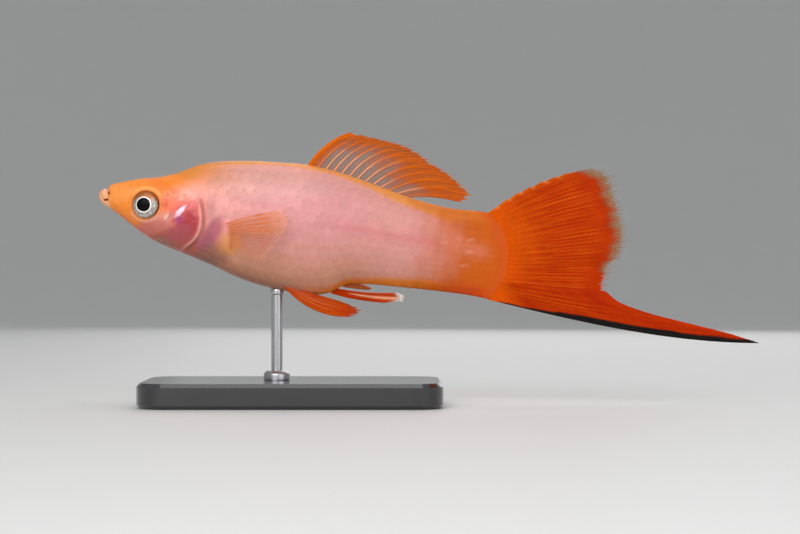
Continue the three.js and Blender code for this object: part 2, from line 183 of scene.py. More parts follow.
class SideLine:
    """A smooth line through points in the side view."""

    STEPS = 160

    def __init__(self, points: Pairs) -> None:
        """Runs a smooth line through the points.

        Args:
            points: Place along the fish and height of each point.
        """
        marks = np.array(points, float)
        ends = np.vstack((marks[:1], marks, marks[-1:]))
        spans = len(marks) - 1
        at = np.linspace(0.0, spans, self.STEPS + 1)
        piece = np.minimum(at.astype(int), spans - 1)
        share = (at - piece)[:, None]
        before, start, stop, after = (ends[piece + k] for k in range(4))
        self.points = (
            start
            + 0.5 * share * (stop - before)
            + share**2 * (before - 2.5 * start + 2.0 * stop - 0.5 * after)
            + share**3 * (1.5 * start - 0.5 * before - 1.5 * stop + 0.5 * after)
        )
        lengths = np.hypot(*np.diff(self.points, axis=0).T)
        self.shares = np.concatenate(([0.0], np.cumsum(lengths))) / lengths.sum()

    def at(self, share: Array) -> Array:
        """Points at these shares of the line's length, as rows of x and z."""
        share = np.clip(share, 0.0, 1.0)
        columns = [np.interp(share, self.shares, self.points[:, k]) for k in (0, 1)]
        return np.stack(columns, axis=-1)

    def offset(self, x: Array, z: Array) -> tuple[Array, Array]:
        """How far points lie from the line.

        Args:
            x: Places along the fish.
            z: Heights.

        Returns:
            The distance, positive on the left of the line's direction, and the share of
            the line's length at its nearest point.
        """
        marks = self.points[::2]
        gap_x = x[:, None] - marks[None, :, 0]
        gap_z = z[:, None] - marks[None, :, 1]
        nearest = np.argmin(gap_x**2 + gap_z**2, axis=1)
        along = np.gradient(marks, axis=0)
        along /= np.hypot(*along.T)[:, None]
        rows = np.arange(len(x))
        side = along[nearest, 0] * gap_z[rows, nearest] - along[nearest, 1] * gap_x[rows, nearest]
        forth = along[nearest, 0] * gap_x[rows, nearest] + along[nearest, 1] * gap_z[rows, nearest]
        beyond = ((nearest == 0) | (nearest == len(marks) - 1)) * np.abs(forth)
        distance = np.copysign(np.hypot(side, beyond), side)
        return distance, self.shares[::2][nearest]


@dataclass(frozen=True)
class Placement:
    """Where the fish hangs over the floor."""

    pitch: float = 7.6
    lips_x: float = -52.96
    lips_z: float = 33.6

    def world(self, points: Array) -> Array:
        """Turns rows of x, y, z in the fish's frame into metres in the room."""
        turn = math.radians(self.pitch)
        x, y, z = points.T
        room_x = self.lips_x + x * math.cos(turn) + z * math.sin(turn)
        room_z = self.lips_z - x * math.sin(turn) + z * math.cos(turn)
        return np.stack((room_x, y, room_z), axis=1) * MM

    def fish(self, points: Array) -> Array:
        """Turns rows of metres in the room into the fish's frame."""
        turn = math.radians(self.pitch)
        x, y, z = (points / MM).T
        x, z = x - self.lips_x, z - self.lips_z
        fish_x = x * math.cos(turn) - z * math.sin(turn)
        fish_z = x * math.sin(turn) + z * math.cos(turn)
        return np.stack((fish_x, y, fish_z), axis=1)


PLACE = Placement()


# Mesh helpers.


def start_piece(name: str, add: Callable[..., set], **sizes: object) -> Piece:
    """Adds one of Blender's primitives, with nothing else selected.

    Args:
        name: Name of the new piece.
        add: The operator that adds the primitive.
        sizes: The operator's settings.

    Returns:
        The new piece.
    """
    bpy.ops.object.select_all(action="DESELECT")
    add(**sizes)
    piece = bpy.context.object
    piece.name = piece.data.name = name
    return piece


def grid(name: str, columns: int, rows: int) -> tuple[Piece, Array]:
    """Adds a flat grid and reads the place of its points on it.

    Args:
        name: Name of the new piece.
        columns: Faces along u.
        rows: Faces along v.

    Returns:
        The piece, and u and v from 0 to 1 for each of its points.
    """
    piece = start_piece(
        name, bpy.ops.mesh.primitive_grid_add, x_subdivisions=columns, y_subdivisions=rows,
        size=1.0,
    )
    return piece, points_of(piece)[:, :2] + 0.5


def points_of(piece: Piece) -> Array:
    """The piece's points as rows of x, y, z."""
    flat = np.empty(len(piece.data.vertices) * 3)
    piece.data.vertices.foreach_get("co", flat)
    return flat.reshape(-1, 3)


def move_points(piece: Piece, points: Array) -> None:
    """Puts the piece's points at these rows of x, y, z."""
    piece.data.vertices.foreach_set("co", np.ascontiguousarray(points, float).ravel())
    piece.data.update()


def paint(piece: Piece, name: str, values: Array) -> None:
    """Stores a colour with its fourth value for each point, under a name materials read."""
    attribute = piece.data.attributes.new(name, "FLOAT_COLOR", "POINT")
    attribute.data.foreach_set("color", np.ascontiguousarray(values, float).ravel())


def paint_gloss(piece: Piece, values: Array) -> None:
    """Stores how wet each point looks, from 0 to 1."""
    attribute = piece.data.attributes.new("gloss", "FLOAT", "POINT")
    attribute.data.foreach_set("value", np.ascontiguousarray(values, float))


@contextmanager
def editing(piece: Piece, whole: bool = True) -> Iterator[None]:
    """Edit mode on one piece, for the length of a with block.

    Args:
        piece: The piece to edit.
        whole: Whether all of it is selected first.

    Returns:
        Nothing that the block reads.
    """
    bpy.context.view_layer.objects.active = piece
    bpy.ops.object.mode_set(mode="EDIT")
    if whole:
        bpy.ops.mesh.select_all(action="SELECT")
    yield
    bpy.ops.object.mode_set(mode="OBJECT")


def weld(piece: Piece, reach: float = 0.001 * MM, closed: bool = True) -> None:
    """Joins points that lie together and turns the faces of a closed piece outwards.

    Args:
        piece: The piece to weld.
        reach: Points nearer than this become one.
        closed: Whether the piece has an inside.
    """
    with editing(piece):
        bpy.ops.mesh.remove_doubles(threshold=reach)
        if closed:
            bpy.ops.mesh.normals_make_consistent(inside=False)


def apply_modifier(piece: Piece, kind: str, **settings: object) -> None:
    """Adds a modifier with these settings and applies it.

    Args:
        piece: The piece to change.
        kind: Blender's name of the modifier's type.
        settings: Values of the modifier's fields.
    """
    bpy.context.view_layer.objects.active = piece
    modifier = piece.modifiers.new(kind.title(), kind)
    for key, value in settings.items():
        setattr(modifier, key, value)
    bpy.ops.object.modifier_apply(modifier=modifier.name)


def finish_piece(
    piece: Piece, material: Material, nodes: Sequence[str] = (),
    angle: float = 180.0,
) -> Piece:
    """Dresses a piece and ties it to the frame.

    Args:
        piece: The finished mesh.
        material: Its material.
        nodes: CAD nodes that the piece stands for.
        angle: Edges sharper than this many degrees stay sharp.

    Returns:
        The same piece.
    """
    piece.data.materials.clear()
    piece.data.materials.append(material)
    bpy.ops.object.select_all(action="DESELECT")
    piece.select_set(True)
    bpy.context.view_layer.objects.active = piece
    bpy.ops.object.shade_smooth_by_angle(angle=math.radians(angle))
    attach(piece, ROOT)
    if nodes:
        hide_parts(*nodes)
    LOG.info("%s: %d faces", piece.name, len(piece.data.polygons))
    return piece


# The body.


@dataclass(frozen=True)
class Body:
    """The fish's body as sections along its length, the same as in the solids."""

    back: Pairs = (
        (0, 0), (0.25, 0.68), (0.74, 1.13), (1.68, 1.92), (3.37, 2.55), (6.15, 3.48),
        (9.29, 4.18), (12.36, 5.36), (15.38, 6.94), (18.48, 7.87), (23.22, 8.62), (28, 9.02),
        (32.66, 9.24), (38.97, 8.46), (45.97, 6.94), (51.67, 5.83), (55.85, 5.38), (61, 5.5),
        (64, 5.3), (67.5, 4.6),
    )
    belly: Pairs = (
        (0, 0), (0.2, -0.66), (0.83, -1.37), (2.03, -1.91), (5.56, -3.94), (7.9, -5.27),
        (10.2, -6.26), (14.67, -7.49), (19.16, -8.68), (23.68, -10.14), (28.11, -10.98),
        (33.95, -11.35), (37.14, -11.1), (38.86, -10.55), (40, -9.7), (41.2, -8.95),
        (43, -8.62), (49.69, -8.27), (56.12, -8.09), (61, -8.1), (65.5, -8.5), (67.5, -8.8),
    )
    half_width: Pairs = (
        (0, 0), (0.25, 0.95), (0.83, 1.5), (2, 1.98), (4, 2.55), (8, 3.5), (12, 4.2),
        (16, 4.62), (21, 4.95), (27, 4.9), (33, 4.5), (39, 3.85), (46, 3.05), (53, 2.3),
        (59, 1.6), (63, 1.0), (65.5, 0.62), (67.5, 0.45),
    )
    widest_height: Pairs = (
        (0, 0), (4, -0.5), (10, -1.2), (20, -1.3), (34, -1.6), (50, -1.3), (67.5, -1.6),
    )
    upper_shape: Pairs = ((0, 2.2), (4, 2.9), (10, 2.8), (18, 2.15), (34, 1.85), (67.5, 1.9))
    lower_shape: Pairs = ((0, 2.2), (6, 2), (14, 1.85), (26, 2.05), (40, 1.85), (67.5, 1.9))
    gill_rear: Pairs = (
        (13.4, 9), (14.4, 6.6), (15.91, 2.93), (17.1, -0.6), (17.35, -3.01), (16.65, -5.04),
        (14.9, -6.9), (12.6, -9),
    )
    tail_root: Pairs = (
        (60.6, 7), (61.9, 5.3), (63.9, 2.6), (64.9, -1), (64.9, -4.6), (64.4, -8.3), (64.1, -10),
    )
    lip_top: Pairs = (
        (0, 0), (0.06, 0.37), (0.25, 0.72), (0.45, 0.98), (0.8, 1.13), (1.24, 0.97), (1.57, 0.69),
        (1.79, 0.42),
    )
    snout_wall: Span = (1.66, 1.8)
    snout_lean: float = 0.24
    lean_height: Span = (1.1, 0.45)
    lean_start: Span = (1.6, 1.75)
    lean_end: Span = (3.0, 2.0)
    tail_thinning: float = 0.82
    thinning_run: Span = (-4.0, 1.8)
    least_depth: float = 0.2

    def __post_init__(self) -> None:
        """Fits the curves once."""
        for name in ("back", "belly", "half_width", "widest_height", "upper_shape", "lower_shape"):
            object.__setattr__(self, f"{name}_at", Profile(getattr(self, name)))
        object.__setattr__(self, "lip_top_at", Profile(self.lip_top))
        object.__setattr__(self, "gill_line", SideLine(self.gill_rear))
        object.__setattr__(self, "root_line", SideLine(self.tail_root))

    def top(self, x: Array) -> Array:
        """Height of the back, with the notch between upper lip and snout."""
        behind = ease(*self.snout_wall, x)
        return self.lip_top_at(x) * (1.0 - behind) + self.back_at(x) * behind

    def surface(self, x: Array, turn: Array, grow: float = 0.0) -> Array:
        """Points of the body's skin.

        Args:
            x: Places along the fish.
            turn: Directions in radians from straight up, positive towards the left side.
            grow: How far outside the body the points are.

        Returns:
            Rows of x, y, z.
        """
        middle = self.widest_height_at(x)
        up = np.cos(turn)
        above = up > 0
        reach = np.where(above, self.top(x) - middle, middle - self.belly_at(x)) + grow
        shape = np.where(above, self.upper_shape_at(x), self.lower_shape_at(x))
        reach = np.maximum(reach, SMALLEST)
        width = np.maximum(self.half_width_at(x) + grow, SMALLEST)
        total = (np.abs(up) / reach) ** shape + (np.abs(np.sin(turn)) / width) ** shape
        radius = total ** (-1.0 / shape)
        z = middle + radius * up
        lean = self.snout_lean * lump(z, *self.lean_height) * ease(*self.lean_start, x)
        lean = lean * ease(*self.lean_end, x)
        thinned = 1.0 - self.tail_thinning * ease(*self.thinning_run, self.past_root(x, z))
        y = -radius * np.sin(turn) * thinned
        return np.stack((x - lean, y, z), axis=1)

    def past_root(self, x: Array, z: Array) -> Array:
        """Distance behind the root of the tail fin."""
        line = self.root_line.points[::-1]
        return x - np.interp(z, line[:, 1], line[:, 0])

    def outward(self, x: Array, turn: Array) -> Array:
        """Directions straight out of the skin, as rows of x, y, z."""
        step_x, step_turn = 0.02, 0.01
        lengthways = self.surface(x + step_x, turn) - self.surface(np.maximum(x - step_x, 0), turn)
        round_way = self.surface(x, turn + step_turn) - self.surface(x, turn - step_turn)
        normal = np.cross(round_way, lengthways)
        size = np.linalg.norm(normal, axis=1, keepdims=True)
        forwards = (-1.0, 0.0, 0.0)
        return np.where(size > NO_LENGTH, normal / np.maximum(size, NO_LENGTH), forwards)

    def level(self, x: Array, z: Array) -> Array:
        """Height as a share: 0 at the belly line and 1 at the back."""
        low, high = self.belly_at(x), self.back_at(x)
        return (z - low) / np.maximum(high - low, self.least_depth)


@dataclass(frozen=True)
class Groove:
    """A fold of the skin along a line in the side view, in millimetres."""

    line: Pairs
    height: float
    width: float
    beside: float = 0.0
    fade_in: Span | None = None
    fade_out: Span | None = None
    hump: float | None = None

    def at(self, x: Array, z: Array) -> Array:
        """How far the skin stands out at these points, below 0 where it is sunk."""
        side, share = SideLine(self.line).offset(x, z)
        total = self.height * lump(np.abs(side), self.beside, self.width)
        if self.fade_in:
            total = total * ease(*self.fade_in, share)
        if self.fade_out:
            total = total * (1.0 - ease(*self.fade_out, share))
        if self.hump:
            total = total * lump(share, 0.5, self.hump)
        return total


@dataclass(frozen=True)
class Relief:
    """What stands out of or is sunk into the smooth body, in millimetres."""

    body: Body
    mouth_slit: Pairs = ((0.62, 1.6), (0.5, 0.7), (0.62, -0.1), (0.98, -0.6), (1.5, -0.74))
    lip_back: Pairs = ((1.68, 0.7), (1.78, 0.1), (1.62, -0.4), (1.35, -0.72))
    jaw_line: Pairs = ((1.4, -0.74), (2.2, -1.12), (3.3, -1.75), (4.5, -3.0), (5.1, -4.4))
    maxilla: Pairs = ((1.85, 0.6), (2.35, -0.2), (2.5, -0.85), (2.2, -1.15))
    cheek_fold: Pairs = ((9.6, 2.6), (10.9, 1.2), (11.0, -1.0), (10.3, -3.4), (9.4, -4.7))
    throat_fold: Pairs = ((5.2, -3.6), (8.4, -4.9), (11.6, -6.35), (14.4, -7.15))
    cover_front: Pairs = (
        (14.6, 2.1), (13.5, 1.3), (12.7, -0.2), (11.9, -2.3), (11.35, -4.4), (11.75, -5.85),
        (13.2, -6.2), (15.0, -6.3),
    )
    # The rolled lips stand on both sides of the slit, and all other lines are sunk.
    grooves: tuple[Groove, ...] = (
        Groove(mouth_slit, 0.03, 0.2, beside=0.3, fade_out=(0.8, 1.0)),
        Groove(mouth_slit, -0.14, 0.07),
        Groove(lip_back, -0.16, 0.13, fade_in=(0.0, 0.15)),
        Groove(jaw_line, -0.11, 0.14, fade_out=(0.35, 1.0)),
        Groove(maxilla, -0.06, 0.13, hump=0.4),
        Groove(cheek_fold, -0.05, 0.28, hump=0.4),
        Groove(throat_fold, -0.1, 0.16, fade_in=(0.0, 0.3)),
        Groove(cover_front, -0.045, 0.2, hump=0.48),
    )
    # Height, middle, half sizes and lean of the mouth's corner, the gill cover's dome and the
    # pad under the pectoral fin.
    mounds: tuple[tuple[float, Span, Span, float], ...] = (
        (-0.22, (1.42, -0.66), (0.42, 0.17), -14.0),
        (0.12, (14.6, -2.3), (2.2, 3.4), 12.0),
        (0.14, (21.3, -3.9), (2.2, 2.8), -8.0),
    )
    # Place and size of each pit.
    nostrils: tuple[Triple, ...] = ((3.1, 1.5, 0.15), (4.9, 2.0, 0.18))
    nostril_stretch: float = 1.3
    nostril_depth: float = 0.2
    nostril_rim: Triple = (0.03, 1.4, 0.6)
    pores: tuple[Triple, ...] = (
        (11.3, 1.41, 0.3), (6.1, 2.35, 0.14), (7.9, 2.55, 0.14), (9.6, 2.2, 0.14),
        (3.6, -0.3, 0.12), (4.7, -1.9, 0.12), (6.0, -3.1, 0.12),
    )
    pore_depth: float = 0.03
    eye: Span = (8.0, -0.6)
    socket_wall: Span = (1.95, 2.2)
    socket_depth: float = 1.0
    # Height, radius and width of the rings of skin round the eye.
    eye_rims: tuple[Triple, ...] = ((0.09, 2.45, 0.22), (-0.05, 3.05, 0.35))
    flap_top: Span = (2.6, 0.6)
    flap_bottom: Span = (-7.5, -5.7)
    flap_step: Span = (-0.08, 0.12)
    flap_ahead: Span = (0.1, 1.4)
    flap_behind: Span = (-0.2, 0.8)
    head_end: float = 24.0
    skin_wobble: Span = (0.012, 0.9)
    wobble_start: Span = (2.0, 6.0)

    def height(self, x: Array, z: Array) -> Array:
        """How far the skin stands out at points seen from the side.

        Args:
            x: Places along the fish.
            z: Heights.

        Returns:
            The height of the skin over the smooth body, below 0 where it is sunk.
        """
        total = np.zeros_like(x)
        head = x < self.head_end
        near = x[head], z[head]
        total[head] += sum(groove.at(*near) for groove in self.grooves)
        total[head] += self._face(*near) + self._gill(*near)
        for height, *oval in self.mounds:
            total += height * spot(x, z, *oval)
        rough, blot = self.skin_wobble
        total += rough * wobble(x, z, blot) * ease(*self.wobble_start, x)
        return total

    def _face(self, x: Array, z: Array) -> Array:
        """Eye socket with its rims, nostrils and pores."""
        radius = np.hypot(x - self.eye[0], z - self.eye[1])
        total = -self.socket_depth * (1.0 - ease(*self.socket_wall, radius))
        for height, *ring in self.eye_rims:
            total += height * lump(radius, *ring)
        rim_height, rim_radius, rim_width = self.nostril_rim
        for pit_x, pit_z, size in self.nostrils:
            from_pit = np.hypot((x - pit_x) / self.nostril_stretch, z - pit_z)
            total += rim_height * lump(from_pit, rim_radius * size, rim_width * size)
            total -= self.nostril_depth * lump(from_pit, 0.0, size)
        for pore_x, pore_z, size in self.pores:
            total -= self.pore_depth * lump(np.hypot(x - pore_x, z - pore_z), 0.0, size)
        return total

    def _gill(self, x: Array, z: Array) -> Array:
        """The rear edge of the gill cover, as a flap over the shoulder."""
        side, _ = self.body.gill_line.offset(x, z)
        lift, lift_run = self.flap_ahead
        drop, drop_run = self.flap_behind
        ahead = lift * np.exp(-np.maximum(-side, 0.0) / lift_run)
        after = drop * np.exp(-np.maximum(side, 0.0) / drop_run)
        step = ease(*self.flap_step, side)
        lower = ease(*self.flap_top, z) * ease(*self.flap_bottom, z)
        return (ahead * (1.0 - step) + after * step) * lower


def even(colour: Colour, fourth: float, places: Array) -> Array:
    """The same colour and fourth value in a row for each place."""
    return np.tile((*colour, fourth), (len(places), 1))


def lay(
    tint: Array, colour: Colour, mask: Array | float, fourth: float | None = None,
) -> None:
    """Lays a colour over others.

    Args:
        tint: Rows of red, green, blue and a fourth value, changed in place.
        colour: The new colour.
        mask: How much of it each point takes.
        fourth: The new silver of skin or opacity of a fin, or None to leave that.
    """
    share = np.clip(np.broadcast_to(mask, len(tint)), 0.0, 1.0)[:, None]
    tint[:, :3] += (np.array(colour) - tint[:, :3]) * share
    if fourth is not None:
        tint[:, 3:] += (fourth - tint[:, 3:]) * share


@dataclass(frozen=True)
class Patch:
    """A soft oval of colour on the skin, seen from the side."""

    colour: Colour
    amount: float
    centre: Span
    radii: Span
    lean: float = 0.0
    silver: float = 0.0
    ragged: float = 0.0
    blot: float = 0.4

    def lay(self, tint: Array, x: Array, z: Array) -> None:
        """Lays the patch over the tint, in place."""
        if self.ragged:
            x = x + self.ragged * wobble(x, z, self.blot)
        mask = self.amount * spot(x, z, self.centre, self.radii, self.lean)
        lay(tint, self.colour, mask, self.silver)


@dataclass(frozen=True)
class Markings:
    """The colours of skin and scales, and where each one lies."""

    body: Body
    pink: Colour = (0.88, 0.35, 0.30)
    # Lilac tint of the flank, partly a painted satiny sheen.
    lilac: Colour = (0.86, 0.35, 0.37)
    rose: Colour = (0.84, 0.24, 0.24)
    # Painted shade: the brownish tone of the lower flank and belly.
    belly_shade_tan: Colour = (0.70, 0.29, 0.14)
    # Deeper painted shade, along the lowest belly and low behind the gill.
    lower_shade: Colour = (0.36, 0.15, 0.11)
    head_orange: Colour = (0.94, 0.27, 0.035)
    # The snout's orange, lightened by a painted highlight.
    snout_orange_and_highlight: Colour = (0.97, 0.34, 0.07)
    coral: Colour = (0.95, 0.20, 0.10)
    chin_red: Colour = (0.62, 0.09, 0.03)
    cheek_rose: Colour = (0.46, 0.10, 0.065)
    throat_grey: Colour = (0.34, 0.17, 0.12)
    lip_peach: Colour = (0.94, 0.46, 0.23)
    mouth_red: Colour = (0.28, 0.045, 0.02)
    gill_red: Colour = (0.46, 0.045, 0.055)
    gill_coral: Colour = (0.76, 0.12, 0.115)
    gill_pink: Colour = (0.86, 0.20, 0.24)
    gill_mauve: Colour = (0.46, 0.095, 0.105)
    gill_plum: Colour = (0.40, 0.07, 0.22)
    # Near-white lilac of the gill cover's silver streak: silvery skin with a painted highlight.
    silver: Colour = (0.84, 0.60, 0.72)
    shoulder: Colour = (0.50, 0.115, 0.17)
    # Pale peach, laid as painted highlights on the upper flank and on the gill cover.
    pale: Colour = (0.95, 0.66, 0.50)
    back_orange: Colour = (1.0, 0.32, 0.055)
    belly_orange: Colour = (1.0, 0.24, 0.008)
    tail_orange: Colour = (0.74, 0.115, 0.0)
    fin_orange: Colour = (0.68, 0.095, 0.0)
    root_gold: Colour = (0.82, 0.17, 0.004)
    tail_red: Colour = (0.72, 0.055, 0.0)
    pectoral_gold: Colour = (0.80, 0.33, 0.07)
    tail_rose: Colour = (0.86, 0.22, 0.12)
    tail_amber: Colour = (0.86, 0.22, 0.03)
    # Colour of the painted scale glints on the tail stalk.
    glint: Colour = (0.95, 0.55, 0.36)
    brow_orange: Colour = (0.93, 0.22, 0.02)
    chin_rose: Colour = (0.66, 0.18, 0.15)
    gill_shadow: Colour = (0.22, 0.10, 0.10)
    rim_pink: Colour = (0.90, 0.42, 0.36)
    rim_shadow: Colour = (0.30, 0.09, 0.08)
    # Orange rim above the eye, lightened by a painted highlight.
    lid_gold_and_highlight: Colour = (0.98, 0.52, 0.16)
    lid_pink: Colour = (0.93, 0.50, 0.36)
    # Painted shade round the rim of the eye socket.
    socket_shade_brown: Colour = (0.50, 0.14, 0.05)
    pore_pink: Colour = (0.96, 0.50, 0.30)
    cheek_red: Colour = (0.72, 0.10, 0.06)
    base_silver: float = 0.16
    scale_length: float = 1.72
    head_end: float = 26.0
    midline: Pairs = ((36.0, 0.4), (46.0, -0.35), (56.0, -0.6), (62.0, -0.9))
    # The flank's lilac tint, partly a painted satiny sheen, and pale peach on the upper flank as a
    # painted soft highlight.
    flank_marks: tuple[Patch, ...] = (
        Patch(lilac, 0.45, (33, 2.0), (12, 5.0), -4.0, silver=0.2),
        Patch(pale, 0.15, (27.5, 5.2), (10, 2.6), -4.0, silver=0.15),
    )
    # Painted highlights: glints of single scales on the tail stalk, with their size and lean below.
    glints: Pairs = ((57.9, 0.6), (60.0, 0.75), (59.8, -1.25), (55.7, -0.2), (59.3, -3.5))
    glint_radii: Span = (0.55, 0.26)
    glint_lean: float = -20.0
    head_marks: tuple[Patch, ...] = (
        Patch(head_orange, 1.0, (8.0, 0.6), (4.6, 3.2)),
        Patch(coral, 0.9, (12.4, 0.5), (2.6, 2.0), silver=0.05),
        # Snout: its own orange, lightened by a painted highlight.
        Patch(snout_orange_and_highlight, 0.8, (3.4, 0.6), (3.0, 1.6), -15.0),
        Patch(brow_orange, 0.7, (9.3, 3.2), (3.6, 0.9), 24.0),
    )
    throat_marks: tuple[Patch, ...] = (
        Patch(chin_rose, 0.8, (9.4, -4.0), (2.9, 1.3), -24.0, silver=0.1),
        Patch(throat_grey, 0.75, (11.0, -6.3), (3.4, 1.0), -20.0, silver=0.05),
    )
    gill_marks: tuple[Patch, ...] = (
        Patch(gill_plum, 0.7, (13.6, -2.2), (0.6, 0.9), 25.0, silver=0.2, ragged=0.2),
        # Silver streak: silvery skin, its near-white colour a painted highlight.
        Patch(silver, 1.0, (13.7, -0.9), (0.4, 1.35), 36.0, silver=0.6, ragged=0.14),
        Patch(gill_shadow, 0.35, (12.1, -1.8), (0.2, 0.7), 27.0, silver=0.1),
        # A painted glint on the gill cover.
        Patch(pale, 0.55, (11.55, -2.05), (0.26, 0.6), 24.0, silver=0.3),
    )
    shoulder_marks: tuple[Patch, ...] = (
        Patch(shoulder, 0.85, (18.9, -4.0), (1.4, 3.6), 28.0, silver=0.05),
        # Painted shade low behind the gill.
        Patch(lower_shade, 0.6, (19.6, -7.0), (3.2, 1.9), -24.0),
        Patch(shoulder, 0.25, (18.4, 0.2), (0.8, 2.2), 6.0, silver=0.05),
        Patch(pectoral_gold, 0.6, (22.3, -5.0), (2.0, 2.0), -8.0, ragged=0.4, blot=0.8),
    )
    mouth_corner: Patch = Patch(mouth_red, 0.95, (1.41, -0.64), (0.46, 0.2), -14.0)
    cheek_spot: Patch = Patch(cheek_red, 0.35, (11.1, -0.2), (0.6, 0.45))

    def at(self, x: Array, z: Array) -> Array:
        """Colour of the skin at points seen from the side.

        Args:
            x: Places along the fish.
            z: Heights.

        Returns:
            Rows of red, green, blue and how silvery the skin is.
        """
        tint = even(self.pink, self.base_silver, x)
        level = self.body.level(x, z)
        self._flank(tint, x, z, level)
        self._tail(tint, x, z, level)
        head = x < self.head_end
        part = tint[head]
        self._head(part, x[head], z[head], level[head])
        self._gill(part, x[head], z[head])
        self._face(part, x[head], z[head])
        tint[head] = part
        return tint

    def gloss(self, x: Array, z: Array) -> Array:
        """How wet the skin looks: most on the gill cover and lips, least at the tail fin."""
        wet = 0.5 + 0.5 * spot(x, z, (14.0, -1.5), (3.6, 5.0)) + 0.4 * ease(2.6, 1.6, x)
        return wet * ease(-0.5, -6.0, self.body.past_root(x, z))

    def _flank(self, tint: Array, x: Array, z: Array, level: Array) -> None:
        """Pink flank with lilac and rose, painted sheen above, painted shade on the lower flank and
        belly, and orange lines along back and belly.
        """
        uneven = wobble(x, z, 3.2)
        for mark in self.flank_marks:
            mark.lay(tint, x, z)
        stripe = lump(z - self._midline(x), 0.0, 0.95)
        lay(tint, self.rose, 0.62 * stripe * ease(33, 41, x) * ease(62, 57, x))
        # Painted shade: the lower flank and belly darkened to a brownish tone, more towards the front,
        # and darker still along the lowest edge of the front belly.
        low = ease(0.44, 0.1, level + 0.03 * uneven)
        lay(tint, self.belly_shade_tan, 0.7 * low * ease(50, 38, x), 0.05)
        lay(tint, self.belly_shade_tan, 0.3 * low * ease(38, 50, x), 0.05)
        lay(tint, self.lower_shade, 0.35 * ease(0.16, 0.0, level) * ease(36, 30, x), 0.0)
        scallop = 0.25 * np.abs(np.sin(math.pi * x / self.scale_length))
        from_back = self.body.back_at(x) - z
        thick = 0.35 + 0.9 * ease(36, 50, x) + 0.5 * ease(50, 56, x)
        orange = ease(thick + scallop + 0.5, thick + scallop - 0.2, from_back + 0.2 * uneven)
        lay(tint, self.back_orange, 0.95 * orange, 0.05)
        from_belly = z - self.body.belly_at(x)
        rim = 0.5 + 0.9 * ease(38, 60, x)
        edge = ease(rim + 0.9, rim - 0.2, from_belly + 0.2 * uneven) * ease(33, 38, x)
        lay(tint, self.belly_orange, 0.9 * edge, 0.0)

    def _midline(self, x: Array) -> Array:
        """Height of the rosy stripe along the middle of the flank."""
        return np.interp(x, *np.array(self.midline).T)

    def _tail(self, tint: Array, x: Array, z: Array, level: Array) -> None:
        """Pink turns to orange on the tail stalk, in uneven upright streaks, with painted scale
        glints.
        """
        streak = 0.55 * np.sin(2.9 * x + 0.6 * np.sin(1.3 * z)) + 0.9 * wobble(x, z, 1.6)
        start = x + streak + 10.0 * (level - 0.5) ** 2
        lay(tint, self.tail_orange, 0.55 * ease(49.5, 56.5, start), 0.08)
        lay(tint, self.tail_orange, ease(54.5, 61.0, start), 0.03)
        rosy = lump(z - self._midline(x), 0.0, 1.2) * ease(54, 57, x) * ease(65, 61, x)
        lay(tint, self.tail_rose, 0.65 * rosy, 0.1)
        red = ease(0.2, 0.02, level) * ease(52, 60, x)
        lay(tint, self.tail_red, 0.9 * red, 0.0)
        lay(tint, self.tail_amber, 0.5 * ease(0.8, 0.95, level) * ease(54, 58, x), 0.0)
        root = self.body.past_root(x, z)
        lay(tint, self.root_gold, 0.35 * lump(root, -0.7, 0.5) * lump(z, -2.6, 2.2), 0.0)
        lay(tint, self.fin_orange, ease(-2.2, 0.4, root), 0.0)
        # Painted highlights: glints of single scales.
        for centre in self.glints:
            glint = spot(x, z, centre, self.glint_radii, self.glint_lean)
            lay(tint, self.glint, 0.4 * glint * (0.6 + 0.4 * wobble(x, z, 0.4)), 0.3)

    def _head(self, tint: Array, x: Array, z: Array, level: Array) -> None:
        """Orange crown and snout, the snout lightened by a painted highlight, dusky cheek and throat.
        """
        uneven = wobble(x, z, 1.7)
        crown_rear = 16.5 + 1.3 * (z - 6.5)
        crown = ease(crown_rear + 3.4, crown_rear - 1.4, x + 0.5 * uneven)
        lay(tint, self.head_orange, crown * ease(-1.2, 1.6, z + 0.3 * uneven), 0.0)
        fade = ease(24.5, 14.5, x) * ease(0.62, 0.9, level)
        lay(tint, self.head_orange, 0.75 * fade, 0.0)
        muzzle = ease(8.8, 6.2, x + 0.5 * z + 0.3 * uneven)
        lay(tint, self.head_orange, muzzle, 0.0)
        for mark in self.head_marks:
            mark.lay(tint, x, z)
        low = ease(0.36, 0.14, level + 0.02 * uneven) * ease(6.0, 9.0, x) * ease(24, 16, x)
        lay(tint, self.cheek_rose, 0.95 * low, 0.0)
        chin = ease(0.14, 0.0, level) * ease(1.5, 3.0, x) * ease(9.0, 7.0, x)
        lay(tint, self.chin_red, 0.6 * chin, 0.0)
        for mark in self.throat_marks:
            mark.lay(tint, x, z)

    def _gill(self, tint: Array, x: Array, z: Array) -> None:
        """Red gills through the thin cover, silver streak and pale rim, shoulder band; with painted
        highlights on the gills, the streak and a glint, and painted shade behind the rim and low
        behind the gill.
        """
        uneven = wobble(x, z, 0.8)
        fine = wobble(x, z, 0.4)
        patch = spot(x + 0.25 * uneven, z + 0.2 * fine, (15.0, -2.0), (2.7, 3.8), 10.0)
        lay(tint, self.gill_coral, 0.85 * patch, 0.1)
        red = spot(x + 0.2 * fine, z + 0.2 * uneven, (15.2, -2.7), (1.9, 2.5), 8.0)
        lay(tint, self.gill_red, 0.95 * red, 0.1)
        lay(tint, self.gill_pink, 0.25 * patch * ease(0.1, 0.8, wobble(x, z, 0.5)), 0.2)
